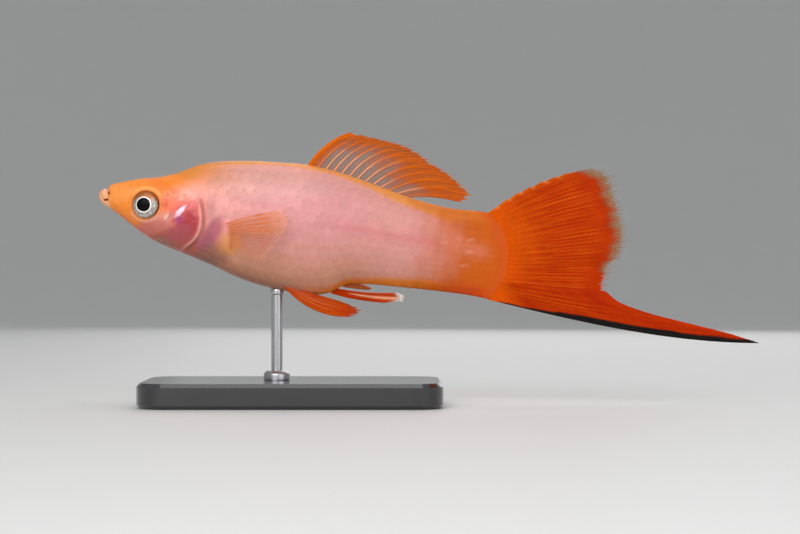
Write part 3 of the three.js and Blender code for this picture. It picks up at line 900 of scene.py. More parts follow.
        # Painted highlights: pink on the red lobes of the gills.
        lobe_highlights = spot(x, z, (15.9, -0.7), (1.2, 1.7), 20.0)
        lobe_highlights = lobe_highlights * ease(0.1, 0.6, wobble(x, z + 0.5, 0.8))
        lay(tint, self.gill_pink, 0.5 * lobe_highlights, 0.25)
        lay(tint, self.gill_red, 0.5 * patch * ease(0.1, 0.7, wobble(x + 2.0, z, 0.7)), 0.1)
        below = spot(x, z + 0.2 * uneven, (13.9, -4.5), (2.6, 1.6), -22.0)
        lay(tint, self.gill_mauve, 0.85 * below, 0.1)
        for mark in self.gill_marks:
            mark.lay(tint, x, z)
        side, _ = self.body.gill_line.offset(x, z)
        rim = lump(side, -0.28, 0.22) * ease(1.4, -0.6, z) * ease(-7.6, -5.6, z)
        lay(tint, self.rim_pink, 0.75 * rim, 0.3)
        shade = lump(side, 0.28, 0.26) * ease(2.0, 0.0, z) * ease(-8.4, -6.4, z)
        lay(tint, self.rim_shadow, 0.6 * shade, 0.0)
        for mark in self.shoulder_marks:
            mark.lay(tint, x, z)

    def _face(self, tint: Array, x: Array, z: Array) -> None:
        """Lips, the rims round the eye, pores and small spots, with painted shade in the lip crease
        and round the eye socket, and painted highlights above the eye and on the gill cover.
        """
        lips = ease(1.95, 1.5, x + 0.25 * z)
        lay(tint, self.lip_peach, 0.95 * lips, 0.0)
        slit, _ = SideLine(Relief.mouth_slit).offset(x, z)
        lay(tint, self.mouth_red, 0.7 * lump(np.abs(slit), 0.0, 0.06), 0.0)
        # Painted shade in the crease between upper lip and snout.
        groove = lump(x, 1.8, 0.2) * lump(z, 0.55, 0.5)
        lay(tint, self.mouth_red, 0.6 * groove, 0.0)
        self.mouth_corner.lay(tint, x, z)
        radius = np.hypot(x - Relief.eye[0], z - Relief.eye[1])
        above = ease(0.2, 1.4, z)
        below = ease(-1.6, -2.6, z)
        # The orange rim above the eye, lightened by a painted highlight.
        lay(tint, self.lid_gold_and_highlight, 0.75 * lump(radius, 2.72, 0.2) * above, 0.0)
        lay(tint, self.lid_pink, 0.7 * lump(radius, 2.65, 0.18) * below, 0.1)
        # Painted shade round the rim of the eye socket.
        lay(tint, self.socket_shade_brown, 0.8 * ease(2.42, 2.24, radius), 0.0)
        pore_x, pore_z, _ = Relief.pores[0]
        ring = lump(np.hypot(x - pore_x, z - pore_z), 0.52, 0.16)
        lay(tint, self.pore_pink, 0.35 * ring, 0.1)
        self.cheek_spot.lay(tint, x, z)
        # Painted highlight: a wet glint on the upper gill cover.
        cover_highlight = (0.5 + 0.5 * wobble(x, z, 0.5)) * spot(x, z, (14.0, 1.6), (1.9, 0.9), -10.0)
        lay(tint, self.pale, 0.4 * cover_highlight, 0.25)


# Materials.


class Wiring:
    """Short ways to add and join nodes in one node tree."""

    def __init__(self, tree: bpy.types.NodeTree) -> None:
        """Keeps the tree."""
        self.tree = tree

    def node(
        self, kind: str, values: dict[str, object] | None = None, **settings: object,
    ) -> Node:
        """Adds a node.

        Args:
            kind: Blender's name of the node's type.
            values: A socket or a plain value for each input, by name.
            settings: Values of the node's fields.

        Returns:
            The node.
        """
        made = self.tree.nodes.new(kind)
        for key, value in settings.items():
            setattr(made, key, value)
        for key, value in (values or {}).items():
            self.feed(made.inputs[key], value)
        return made

    def feed(self, target: Socket, value: object) -> None:
        """Joins a socket to an input, or sets a plain value on it."""
        if isinstance(value, Socket):
            self.tree.links.new(value, target)
        else:
            target.default_value = value

    def maths(self, operation: str, first: object, second: object) -> Socket:
        """Adds a math node on two sockets or numbers, and returns its output."""
        made = self.node("ShaderNodeMath", operation=operation)
        self.feed(made.inputs[0], first)
        self.feed(made.inputs[1], second)
        return made.outputs[0]

    def noise(self, place: Socket, scale: object, detail: float) -> Socket:
        """Adds a noise texture, and returns its value's socket."""
        values = {"Vector": place, "Scale": scale, "Detail": detail}
        return self.node("ShaderNodeTexNoise", values).outputs["Fac"]

    def mix(
        self, share: object, first: object, second: object, blend: str = "MIX",
    ) -> Socket:
        """Mixes two colours.

        Args:
            share: How much of the second, a socket or a number.
            first: A socket or a colour.
            second: A socket or a colour.
            blend: How the second is laid over the first.

        Returns:
            The mixed colour.
        """
        made = self.node("ShaderNodeMix", data_type="RGBA", blend_type=blend)
        for index, value in ((0, share), (6, first), (7, second)):
            self.feed(made.inputs[index], (*value, 1.0) if isinstance(value, tuple) else value)
        return made.outputs[2]


def group_with(
    name: str, inputs: dict[str, tuple[str, object]], outputs: dict[str, str],
) -> tuple[bpy.types.NodeTree, Wiring, Node, Node]:
    """Starts a shader node group.

    Args:
        name: The group's name.
        inputs: Socket type and default value by name.
        outputs: Socket type by name.

    Returns:
        The group, its wiring, its input node and its output node.
    """
    group = bpy.data.node_groups.new(name, "ShaderNodeTree")
    for label, (kind, value) in inputs.items():
        socket = group.interface.new_socket(name=label, in_out="INPUT", socket_type=kind)
        socket.default_value = value
    for label, kind in outputs.items():
        group.interface.new_socket(name=label, in_out="OUTPUT", socket_type=kind)
    wiring = Wiring(group)
    return group, wiring, wiring.node("NodeGroupInput"), wiring.node("NodeGroupOutput")


class Effects:
    """Shared effects, each built once as a node group."""

    def __init__(self) -> None:
        """Builds the groups."""
        self.mottle = self._mottle()
        self.grain = self._grain()

    @staticmethod
    def _mottle() -> bpy.types.NodeTree:
        """Varies a colour in soft blots and fine specks."""
        group, wires, given, made = group_with(
            "Mottle",
            {
                "Colour": ("NodeSocketColor", (0.8, 0.8, 0.8, 1.0)),
                "Blot Scale": ("NodeSocketFloat", 300.0),
                "Speck Scale": ("NodeSocketFloat", 2500.0),
                "Amount": ("NodeSocketFloat", 0.2),
            },
            {"Colour": "NodeSocketColor", "Mask": "NodeSocketFloat"},
        )
        place = wires.node("ShaderNodeTexCoord").outputs["Object"]
        blots = wires.noise(place, given.outputs["Blot Scale"], 2.0)
        specks = wires.noise(place, given.outputs["Speck Scale"], 3.0)
        level = wires.maths("SUBTRACT", wires.maths("ADD", blots, specks), 1.0)
        share = wires.maths("MULTIPLY", level, given.outputs["Amount"])
        values = {"Vector": given.outputs["Colour"], "Scale": wires.maths("ADD", share, 1.0)}
        scaled = wires.node("ShaderNodeVectorMath", values, operation="SCALE")
        wires.feed(made.inputs["Colour"], scaled.outputs[0])
        wires.feed(made.inputs["Mask"], specks)
        return group

    @staticmethod
    def _grain() -> bpy.types.NodeTree:
        """A fine uneven height for bumps, and a roughness that goes with it."""
        group, wires, given, made = group_with(
            "Fine grain",
            {
                "Scale": ("NodeSocketFloat", 1500.0),
                "Roughness": ("NodeSocketFloat", 0.35),
                "Spread": ("NodeSocketFloat", 0.2),
            },
            {"Height": "NodeSocketFloat", "Roughness": "NodeSocketFloat"},
        )
        place = wires.node("ShaderNodeTexCoord").outputs["Object"]
        fine = wires.noise(place, given.outputs["Scale"], 4.0)
        wires.feed(made.inputs["Height"], fine)
        spread = wires.maths("MULTIPLY", wires.maths("SUBTRACT", fine, 0.5), given.outputs["Spread"])
        wires.feed(made.inputs["Roughness"], wires.maths("ADD", spread, given.outputs["Roughness"]))
        return group


@dataclass(frozen=True)
class Finish:
    """What every finish has: a grain, a bump and a gloss."""

    name: str
    roughness: float = 0.35
    spread: float = 0.2
    grain_scale: float = 1500.0
    bump: float = 0.1
    bump_depth: float = 0.02 * MM
    coat: float = 0.0
    coat_roughness: float = 0.1
    amount: float = 0.1

    def start(self, effects: Effects, **values: object) -> tuple[Material, Wiring, Node]:
        """Makes the material with grain, bump and coat.

        Args:
            effects: The shared node groups.
            values: Plain values of the shader's inputs, with _ for a space in a name.

        Returns:
            The material, its wiring and its shader.
        """
        material = bpy.data.materials.new(self.name)
        material.use_nodes = True
        wires = Wiring(material.node_tree)
        shader = material.node_tree.nodes["Principled BSDF"]
        grain = wires.node("ShaderNodeGroup", node_tree=effects.grain)
        own = {"Scale": self.grain_scale, "Roughness": self.roughness, "Spread": self.spread}
        for label, value in own.items():
            grain.inputs[label].default_value = value
        given = {"Strength": self.bump, "Distance": self.bump_depth, "Height": grain.outputs["Height"]}
        bump = wires.node("ShaderNodeBump", given)
        wires.feed(shader.inputs["Roughness"], grain.outputs["Roughness"])
        wires.feed(shader.inputs["Normal"], bump.outputs["Normal"])
        values |= {"Coat_Weight": self.coat, "Coat_Roughness": self.coat_roughness}
        for label, value in values.items():
            shader.inputs[label.replace("_", " ")].default_value = value
        return material, wires, shader

    def mottled(
        self, effects: Effects, wires: Wiring, shader: Node, colour: object,
        scales: Span,
    ) -> Node:
        """Gives the shader its colour, mottled.

        Args:
            effects: The shared node groups.
            wires: The material's wiring.
            shader: The material's shader.
            colour: A socket, or a colour with its fourth value.
            scales: Scale of the blots and of the specks.

        Returns:
            The node of the mottling.
        """
        made = wires.node("ShaderNodeGroup", node_tree=effects.mottle)
        values = dict(zip(("Blot Scale", "Speck Scale"), scales), Amount=self.amount, Colour=colour)
        for label, value in values.items():
            wires.feed(made.inputs[label], value)
        wires.feed(shader.inputs["Base Color"], made.outputs["Colour"])
        return made


@dataclass(frozen=True)
class MarkedFinish(Finish):
    """Wears the colours stored on the piece, and light goes a little way into it."""

    subsurface: float = 0.3
    subsurface_radius: Colour = (1.0, 0.25, 0.05)
    subsurface_depth: float = 0.4 * MM
    amount: float = 0.3
    scales: Span = (500.0, 2600.0)
    specular: float = 0.04

    def marked(self, effects: Effects) -> tuple[Material, Wiring, Node, Node, Node]:
        """Starts the material in the stored colours, mottled.

        Args:
            effects: The shared node groups.

        Returns:
            The material, its wiring, its shader, the node of the stored colours and the
            node of the mottling.
        """
        material, wires, shader = self.start(
            effects, Specular_IOR_Level=self.specular, Subsurface_Weight=self.subsurface,
            Subsurface_Radius=self.subsurface_radius, Subsurface_Scale=self.subsurface_depth,
        )
        marking = wires.node("ShaderNodeAttribute", attribute_name="marking")
        mottle = self.mottled(effects, wires, shader, marking.outputs["Color"], self.scales)
        return material, wires, shader, marking, mottle


@dataclass(frozen=True)
class SkinFinish(MarkedFinish):
    """Wet, satiny skin with silver in its colours."""

    subsurface: float = 0.25
    subsurface_radius: Colour = (1.0, 0.45, 0.3)
    subsurface_depth: float = 0.9 * MM
    amount: float = 0.16
    scales: Span = (420.0, 3800.0)
    specular: float = 0.2
    sheen_of_silver: float = 1.6

    def material(self, effects: Effects) -> Material:
        """Makes the material."""
        material, wires, shader, marking, mottle = self.marked(effects)
        silver = wires.maths("MULTIPLY", marking.outputs["Alpha"], mottle.outputs["Mask"])
        metal = wires.maths("MULTIPLY", silver, self.sheen_of_silver)
        wires.feed(shader.inputs["Metallic"], metal)
        gloss = wires.node("ShaderNodeAttribute", attribute_name="gloss")
        wet = wires.maths("MULTIPLY", gloss.outputs["Fac"], self.coat)
        wires.feed(shader.inputs["Coat Weight"], wet)
        return material


@dataclass(frozen=True)
class FinFinish(MarkedFinish):
    """Thin fin: bony rays in a web that lets light through."""

    def material(self, effects: Effects) -> Material:
        """Makes the material."""
        material, wires, shader, marking, _ = self.marked(effects)
        wires.feed(shader.inputs["Alpha"], marking.outputs["Alpha"])
        return material


@dataclass(frozen=True)
class EyeFinish(Finish):
    """Black pupil, bright ring and silvery iris, with radii in millimetres."""

    pupil_x: float = 0.0
    pupil_z: float = 0.0
    pupil_radius: float = 1.12
    ring_radius: float = 1.28
    reach: float = 2.6
    warp: float = 0.12
    warp_noise: Span = (1.6, 3.0)
    fibre_noise: Span = (3.2, 5.0)
    fleck_range: Span = (0.42, 0.62)
    darkest_fleck: float = 0.5
    upper_range: Span = (0.2, 1.25)
    upper_share: float = 0.95
    upper_brown: Colour = (0.42, 0.13, 0.03)
    iris_metal: float = 0.35
    specular: float = 0.05
    black: Colour = (0.003, 0.002, 0.002)
    rings: tuple[tuple[float, Colour], ...] = (
        (0.00, black), (1.07, black), (1.12, (0.95, 0.90, 0.82)), (1.20, (1.0, 0.98, 0.93)),
        (1.29, (0.75, 0.70, 0.63)), (1.42, (0.50, 0.48, 0.44)), (1.75, (0.72, 0.68, 0.62)),
        (2.05, (0.62, 0.54, 0.46)), (2.3, (0.42, 0.26, 0.17)), (2.5, (0.20, 0.08, 0.03)),
    )

    def material(self, effects: Effects) -> Material:
        """Makes the material."""
        material, wires, shader = self.start(effects, Specular_IOR_Level=self.specular)
        values = {
            "Vector": wires.node("ShaderNodeTexCoord").outputs["Object"],
            "Location": (-self.pupil_x / MM, 0.0, -self.pupil_z / MM),
            "Scale": (1.0 / MM, 0.0, 1.0 / MM),
        }
        centred = wires.node("ShaderNodeMapping", values, vector_type="POINT").outputs["Vector"]
        split = wires.node("ShaderNodeSeparateXYZ", {"Vector": centred})
        length = wires.node("ShaderNodeVectorMath", {"Vector": centred}, operation="LENGTH")
        uneven = wires.maths("SUBTRACT", wires.noise(centred, *self.warp_noise), 0.5)
        shift = wires.maths("MULTIPLY", uneven, self.warp)
        radius = wires.maths("ADD", length.outputs["Value"], shift)
        ramp = wires.node("ShaderNodeValToRGB", {"Fac": wires.maths("DIVIDE", radius, self.reach)})
        self._fill(ramp)
        fibres = wires.noise(centred, *self.fibre_noise)
        flecks = self._range(wires, fibres, self.fleck_range, self.darkest_fleck)
        inside = wires.maths("LESS_THAN", radius, self.ring_radius)
        shade = wires.maths("MAXIMUM", flecks, inside)
        light = wires.mix(1.0, ramp.outputs["Color"], shade, "MULTIPLY")
        upper = self._range(wires, split.outputs["Z"], self.upper_range)
        outside = wires.maths("GREATER_THAN", radius, self.ring_radius)
        warm = wires.maths("MULTIPLY", wires.maths("MULTIPLY", upper, outside), self.upper_share)
        wires.feed(shader.inputs["Base Color"], wires.mix(warm, light, self.upper_brown))
        iris = wires.maths("GREATER_THAN", radius, self.pupil_radius)
        wires.feed(shader.inputs["Metallic"], wires.maths("MULTIPLY", iris, self.iris_metal))
        return material

    @staticmethod
    def _range(wires: Wiring, value: Socket, limits: Span, lowest: float = 0.0) -> Socket:
        """Stretches a value between these limits to reach from the lowest result to 1."""
        values = {"Value": value, "From Min": limits[0], "From Max": limits[1], "To Min": lowest}
        return wires.node("ShaderNodeMapRange", values).outputs[0]

    def _fill(self, ramp: Node) -> None:
        """Sets the rings from the middle of the pupil outwards."""
        stops = ramp.color_ramp.elements
        while len(stops) < len(self.rings):
            stops.new(0.5)
        for stop, (radius, colour) in zip(stops, self.rings):
            stop.position = radius / self.reach
            stop.color = (*colour, 1.0)


@dataclass(frozen=True)
class PlainFinish(Finish):
    """One colour with mottling, for the stand and the floor."""

    colour: Colour = (0.5, 0.5, 0.5)
    metallic: float = 0.0
    scales: Span = (200.0, 3000.0)

    def material(self, effects: Effects) -> Material:
        """Makes the material."""
        material, wires, shader = self.start(effects, Metallic=self.metallic)
        self.mottled(effects, wires, shader, (*self.colour, 1.0), self.scales)
        return material


# Flesh.


@dataclass
class Skin:
    """One closed skin from the lips to the root of the tail fin."""

    body: Body
    relief: Relief
    markings: Markings
    around: int = 260
    inset: float = 0.04
    tail_from: float = 57.0
    body_end: float = 66.0
    overlap: float = 2.3
    scallop: float = 0.22
    # Size, pace and phase of the waves of the skin's rear edge.
    scallop_waves: tuple[Triple, ...] = ((1.0, 2.3, 0.0), (0.6, 5.1, 1.0))
    calm_front: Span = (0.0, 0.12)
    calm_rear: Span = (0.7, 0.95)
    end_squeeze: Span = (1.0, 0.98)
    runs: tuple[tuple[float, int], ...] = (
        (1.0, 26), (1.5, 14), (1.85, 22), (2.6, 12), (5.0, 24), (19.0, 128), (44.0, 84),
        (66.0, 74),
    )

    def build(self) -> Piece:
        """Wraps a grid round the body, welds it and paints it."""
        steps = sum(count for _, count in self.runs)
        piece, place = grid("body_skin", steps, self.around)
        x = self._stations()[np.rint(place[:, 0] * steps).astype(int)]
        turn = (place[:, 1] - 0.5) * 2.0 * math.pi
        points = self._lie(x, turn)
        move_points(piece, PLACE.world(points))
        weld(piece)
        seen = PLACE.fish(points_of(piece))
        paint(piece, "marking", self.markings.at(seen[:, 0], seen[:, 2]))
        paint_gloss(piece, self.markings.gloss(seen[:, 0], seen[:, 2]))
        return piece

    def _stations(self) -> Array:
        """Places of the sections, close together where the head has its details."""
        first_end, first_count = self.runs[0]
        places = [np.linspace(0.0, math.sqrt(first_end), first_count + 1) ** 2]
        start = first_end
        for end, count in self.runs[1:]:
            places.append(np.linspace(start, end, count + 1)[1:])
            start = end
        return np.concatenate(places)

    def _lie(self, x: Array, turn: Array) -> Array:
        """Points of the skin, with its relief, in the fish's frame."""
        rough = self.body.surface(x, turn, -self.inset)
        share = np.clip((x - self.tail_from) / (self.body_end - self.tail_from), 0.0, 1.0)
        root_x = rough[:, 0] - self.body.past_root(rough[:, 0], rough[:, 2]) + self.overlap
        waves = sum(
            size * np.sin(pace * rough[:, 2] + phase) for size, pace, phase in self.scallop_waves
        )
        root_x += self.scallop * waves
        x = np.where(share > 0, self.tail_from + (root_x - self.tail_from) * share, x)
        points = self.body.surface(x, turn, -self.inset)
        normal = self.body.outward(x, turn)
        height = self.relief.height(points[:, 0], points[:, 2])
        calm = ease(*self.calm_front, points[:, 0]) * (1.0 - ease(*self.calm_rear, share))
        points = points + normal * (height * calm)[:, None]
        points[:, 1] *= ease(*self.end_squeeze, share)
        return points


@dataclass
class Scales:
    """Thin overlapping plates over the body behind the head."""

    body: Body
    markings: Markings
    rows: int = 26
    pitch: float = 1.72
    length: float = 3.1
    slack: float = 0.98
    lift: float = 0.014
    sink: float = 0.045
    across: int = 6
    along: int = 4
    waist: float = 0.5
    tuck: float = 0.26
    tuck_behind: Span = (1.3, 0.0)
    tuck_below: Span = (4.6, 2.6)
    first: float = 12.0
    last: float = 66.5
    seed: int = 7
    size_spread: float = 0.02
    width: float = 1.12
    camber: float = 0.05
    rise_power: float = 1.15
    height_spread: float = 0.12
    flat_edge: Span = (0.82, 0.97)
    flat_share: float = 0.5
    underside: float = -0.22
    tone_spread: float = 0.014
    edge_tone: float = 0.02
    silver_spread: float = 0.04
    tail_shrink: Triple = (0.3, 54.0, 10.0)
    crown_height: float = 4.2
    crown_front: float = 13.5
    crown_share: float = 0.3
    behind_gill: float = 1.1
    tail_gap: float = 0.1
    rim_gap: float = 0.8
    rim_band: Span = (0.65, 0.95)
    # Where the pad of the pectoral fin lies, along the fish and in height.
    bare_x: Span = (20.2, 23.0)
    bare_z: Span = (-6.2, -1.8)
    patch: float = 0.0015
    patch_span: float = 70.0
    patch_reach: float = 0.48

    def __post_init__(self) -> None:
        """Tables the direction at each share of the way round each section."""
        self.table_x = np.linspace(self.first - 3.0, self.last + 3.0, 90)
        self.table_share = np.linspace(0.0, 1.0, 181)
        turns = np.linspace(0.0, math.pi, 721)
        table = []
        for x in self.table_x:
            ring = self.body.surface(np.full_like(turns, x), turns)
            lengths = np.hypot(*np.diff(ring[:, 1:], axis=0).T)
            travelled = np.concatenate(([0.0], np.cumsum(lengths))) / lengths.sum()
            table.append(np.interp(self.table_share, travelled, turns))
        self.table = np.array(table)

    def turn_at(self, x: Array, share: Array) -> Array:
        """Direction from straight up at a share of the way from back to belly."""
        column = np.clip(np.abs(share), 0.0, 1.0) * (len(self.table_share) - 1)
        row = np.interp(x, self.table_x, np.arange(len(self.table_x)))
        low_row = np.minimum(row.astype(int), len(self.table_x) - 2)
        low_column = np.minimum(column.astype(int), len(self.table_share) - 2)
        part_row, part_column = row - low_row, column - low_column
        total = np.zeros_like(x)
        for step_row, weight_row in enumerate((1.0 - part_row, part_row)):
            for step_column, weight_column in enumerate((1.0 - part_column, part_column)):
                value = self.table[low_row + step_row, low_column + step_column]
                total += weight_row * weight_column * value
        return np.copysign(total, share)

    def plate(self) -> tuple[Array, list[tuple[int, ...]]]:
        """Models one plate: a rounded grid, extruded to a thin closed slab.

        Returns:
            Rows of share along, share across and 1 on top or 0 below, and the faces.
        """
        piece, place = grid("plate", self.along, self.across)
        v = 2.0 * place[:, 1] - 1.0
        rear = np.clip(place[:, 0] / self.waist - 1.0, 0.0, 1.0)
        front = np.minimum(place[:, 0], self.waist)
        along = front * 0.9 + (1.0 - self.waist * 0.9) * rear * np.sqrt(1.0 - 0.5 * v**2)
        across = v * np.sqrt(1.0 - 0.5 * rear**2) * (0.8 + 0.2 * front / self.waist)
        move_points(piece, np.stack((along, across, np.ones_like(v)), axis=1))
        with editing(piece):
            bpy.ops.mesh.extrude_region_move(TRANSFORM_OT_translate={"value": (0.0, 0.0, -1.0)})
            bpy.ops.mesh.select_all(action="SELECT")
            bpy.ops.mesh.normals_make_consistent(inside=False)
        corners = points_of(piece)
        faces = [tuple(face.vertices) for face in piece.data.polygons]
        bpy.data.objects.remove(piece)
        return corners, faces

    def roots(self) -> Array:
        """Where each plate sits: rows of place along, signed share round and size."""
        found = []
        shrink, shrink_from, shrink_over = self.tail_shrink
        for row in range(self.rows // 2):
            share = (row + 0.5) / (self.rows // 2)
            start = self.first + (0.5 * self.pitch if row % 2 else 0.0)
            for x in np.arange(start, self.last, self.pitch):
                size = 1.0 - shrink * max(0.0, (x - shrink_from) / shrink_over)
                if self._scaled(x, share):
                    found += [(x, share, size), (x, -share, size)]
        return np.array(found)

    def _scaled(self, x: float, share: float) -> bool:
        """Whether a plate may sit there: behind the head and ahead of the tail fin."""
        at = np.array([x])
        turn = self.turn_at(at, np.array([share]))
        point = self.body.surface(at, turn)[0]
        behind, _ = self.body.gill_line.offset(at, point[2:])
        if point[2] < self.crown_height and behind[0] < self.behind_gill:
            return False
        if point[2] >= self.crown_height and x < self.crown_front and share > self.crown_share:
            return False
        outer = self.rim_gap * ease(*self.rim_band, np.array([abs(2.0 * share - 1.0)]))[0]
        if self.body.past_root(at, point[2:])[0] > self.tail_gap - outer:
            return False
        bare = self.bare_x[0] < x < self.bare_x[1] and self.bare_z[0] < point[2] < self.bare_z[1]
        return not bare

    def build(self) -> Piece:
        """Lays a copy of the plate at every root and joins them into one mesh."""
        corners, faces = self.plate()
        roots = self.roots()
        rng = np.random.default_rng(self.seed)
        count, size = len(roots), len(corners)
        place = np.repeat(roots, size, axis=0)
        local = np.tile(corners, (count, 1))
        uneven = np.repeat(rng.normal(0.0, 1.0, (count, 3)), size, axis=0)
        scale = place[:, 2] * (1.0 + self.size_spread * uneven[:, 0])
        x = place[:, 0] + (local[:, 0] - 0.5) * self.length * scale
        half = self.width / (self.rows // 2) * scale
        share = place[:, 1] + local[:, 1] * half * self.slack
        share = np.where(np.abs(share) > 1.0, np.copysign(2.0, share) - share, share)
        turn = self.turn_at(x, share)
        rise = (self.lift + self.sink) * local[:, 0] ** self.rise_power
        top = -self.sink + rise - self.camber * local[:, 1] ** 2
        fade = 1.0 - ease(*self.flat_edge, np.abs(place[:, 1])) * self.flat_share
        top = top * (1.0 + self.height_spread * uneven[:, 1]) * fade
        height = np.where(local[:, 2] > 0.5, top, self.underside)
        flat = self.body.surface(x, turn)
        behind, _ = self.body.gill_line.offset(x, flat[:, 2])
        height -= self.tuck * ease(*self.tuck_behind, behind) * ease(*self.tuck_below, flat[:, 2])
        points = flat + self.body.outward(x, turn) * height[:, None]
        mesh = bpy.data.meshes.new("body_scales")
        rings = [
            tuple(index + k * size for index in reversed(face)) for k in range(count) for face in faces
        ]
        mesh.from_pydata(PLACE.world(points), [], rings)
        mesh.update()
        piece = bpy.data.objects.new("body_scales", mesh)
        bpy.context.collection.objects.link(piece)
        tint = self.markings.at(points[:, 0], points[:, 2])
        edge = ease(0.8, 1.0, local[:, 0])
        tone = self.tone_spread * uneven[:, 2].clip(-2.0, 2.0) + self.edge_tone * edge
        tint[:, :3] *= (1.0 + tone)[:, None]
        tint[:, 3] += self.silver_spread * uneven[:, 2].clip(-1.0, 1.0)
        paint(piece, "marking", tint.clip(0.0, 1.0))
        paint_gloss(piece, self.markings.gloss(points[:, 0], points[:, 2]))
        self._unwrap(piece, place, local)
        return piece

    def _unwrap(self, piece: Piece, place: Array, local: Array) -> None:
        """Gives each plate a small patch at its root on the skin's own unwrap."""
        u = place[:, 0] / self.patch_span + self.patch * (2.0 * local[:, 0] - 1.0)
        v = 0.5 + self.patch_reach * place[:, 1] + self.patch * local[:, 1]
        corners = np.empty(len(piece.data.loops), int)
        piece.data.loops.foreach_get("vertex_index", corners)
        layer = piece.data.uv_layers.new(name="OFBake")
        layer.uv.foreach_set("vector", np.stack((u, v), axis=1)[corners].ravel())


@dataclass
class Eye:
    """An eyeball with a domed lens, its pole at the middle of the pupil."""

    side: int
    centre: Span = (8.0, -0.6)
    pupil: Span = (7.67, -0.62)
    radius: float = 2.16
    middle_y: float = 2.7
    bulge: float = 1.02
    flatness: float = 3.1
    pupil_radius: float = 1.1
    tilt: float = 0.17
    lens: float = 0.06
    # Height, radius in shares of the pupil's, and width of the ring round the pupil.
    ring: Triple = (0.02, 1.1, 0.08)
    back_depth: float = 1.2
    segments: int = 72
    ring_count: int = 64

    def build(self, name: str) -> Piece:
        """Shapes a round ball into the eye."""
        piece = start_piece(
            name, bpy.ops.mesh.primitive_uv_sphere_add, segments=self.segments,
            ring_count=self.ring_count, radius=1.0,
        )
        x, y, z = points_of(piece).T
        reach = np.hypot(x, y)
        shift = reach**4
        middle_x, middle_z = (
            pupil + (centre - pupil) * shift for pupil, centre in zip(self.pupil, self.centre)
        )
        eye_x, eye_z = middle_x + self.radius * x, middle_z + self.radius * y
        from_centre = np.hypot(eye_x - self.centre[0], eye_z - self.centre[1]) / self.radius
        dome = (1.0 - np.clip(from_centre, 0.0, 1.0) ** self.flatness) ** (1.0 / self.flatness)
        from_pupil = np.hypot(eye_x - self.pupil[0], eye_z - self.pupil[1]) / self.pupil_radius
        lens = self.lens * np.clip(1.0 - from_pupil**2, 0.0, 1.0)
        lens = lens + self.tilt * (eye_x - self.centre[0])
        ring_height, *ring = self.ring
        front = self.bulge * dome + lens + ring_height * lump(from_pupil, *ring)
        back = -self.back_depth * np.sqrt(np.clip(1.0 - reach**2, 0.0, 1.0))
        out = np.where(z > 0, front, back)
        points = np.stack((eye_x, self.side * (self.middle_y + out), eye_z), axis=1)
        move_points(piece, PLACE.world(points))
        weld(piece)
        return piece


# Fins.


COLUMNS = 16


class Split(Enum):
    """How often the rays of a fin branch before the margin."""

    NEVER = ()
    ONCE = ((0.45, 0.8),)
    TWICE = ((0.22, 0.5), (0.55, 0.85))


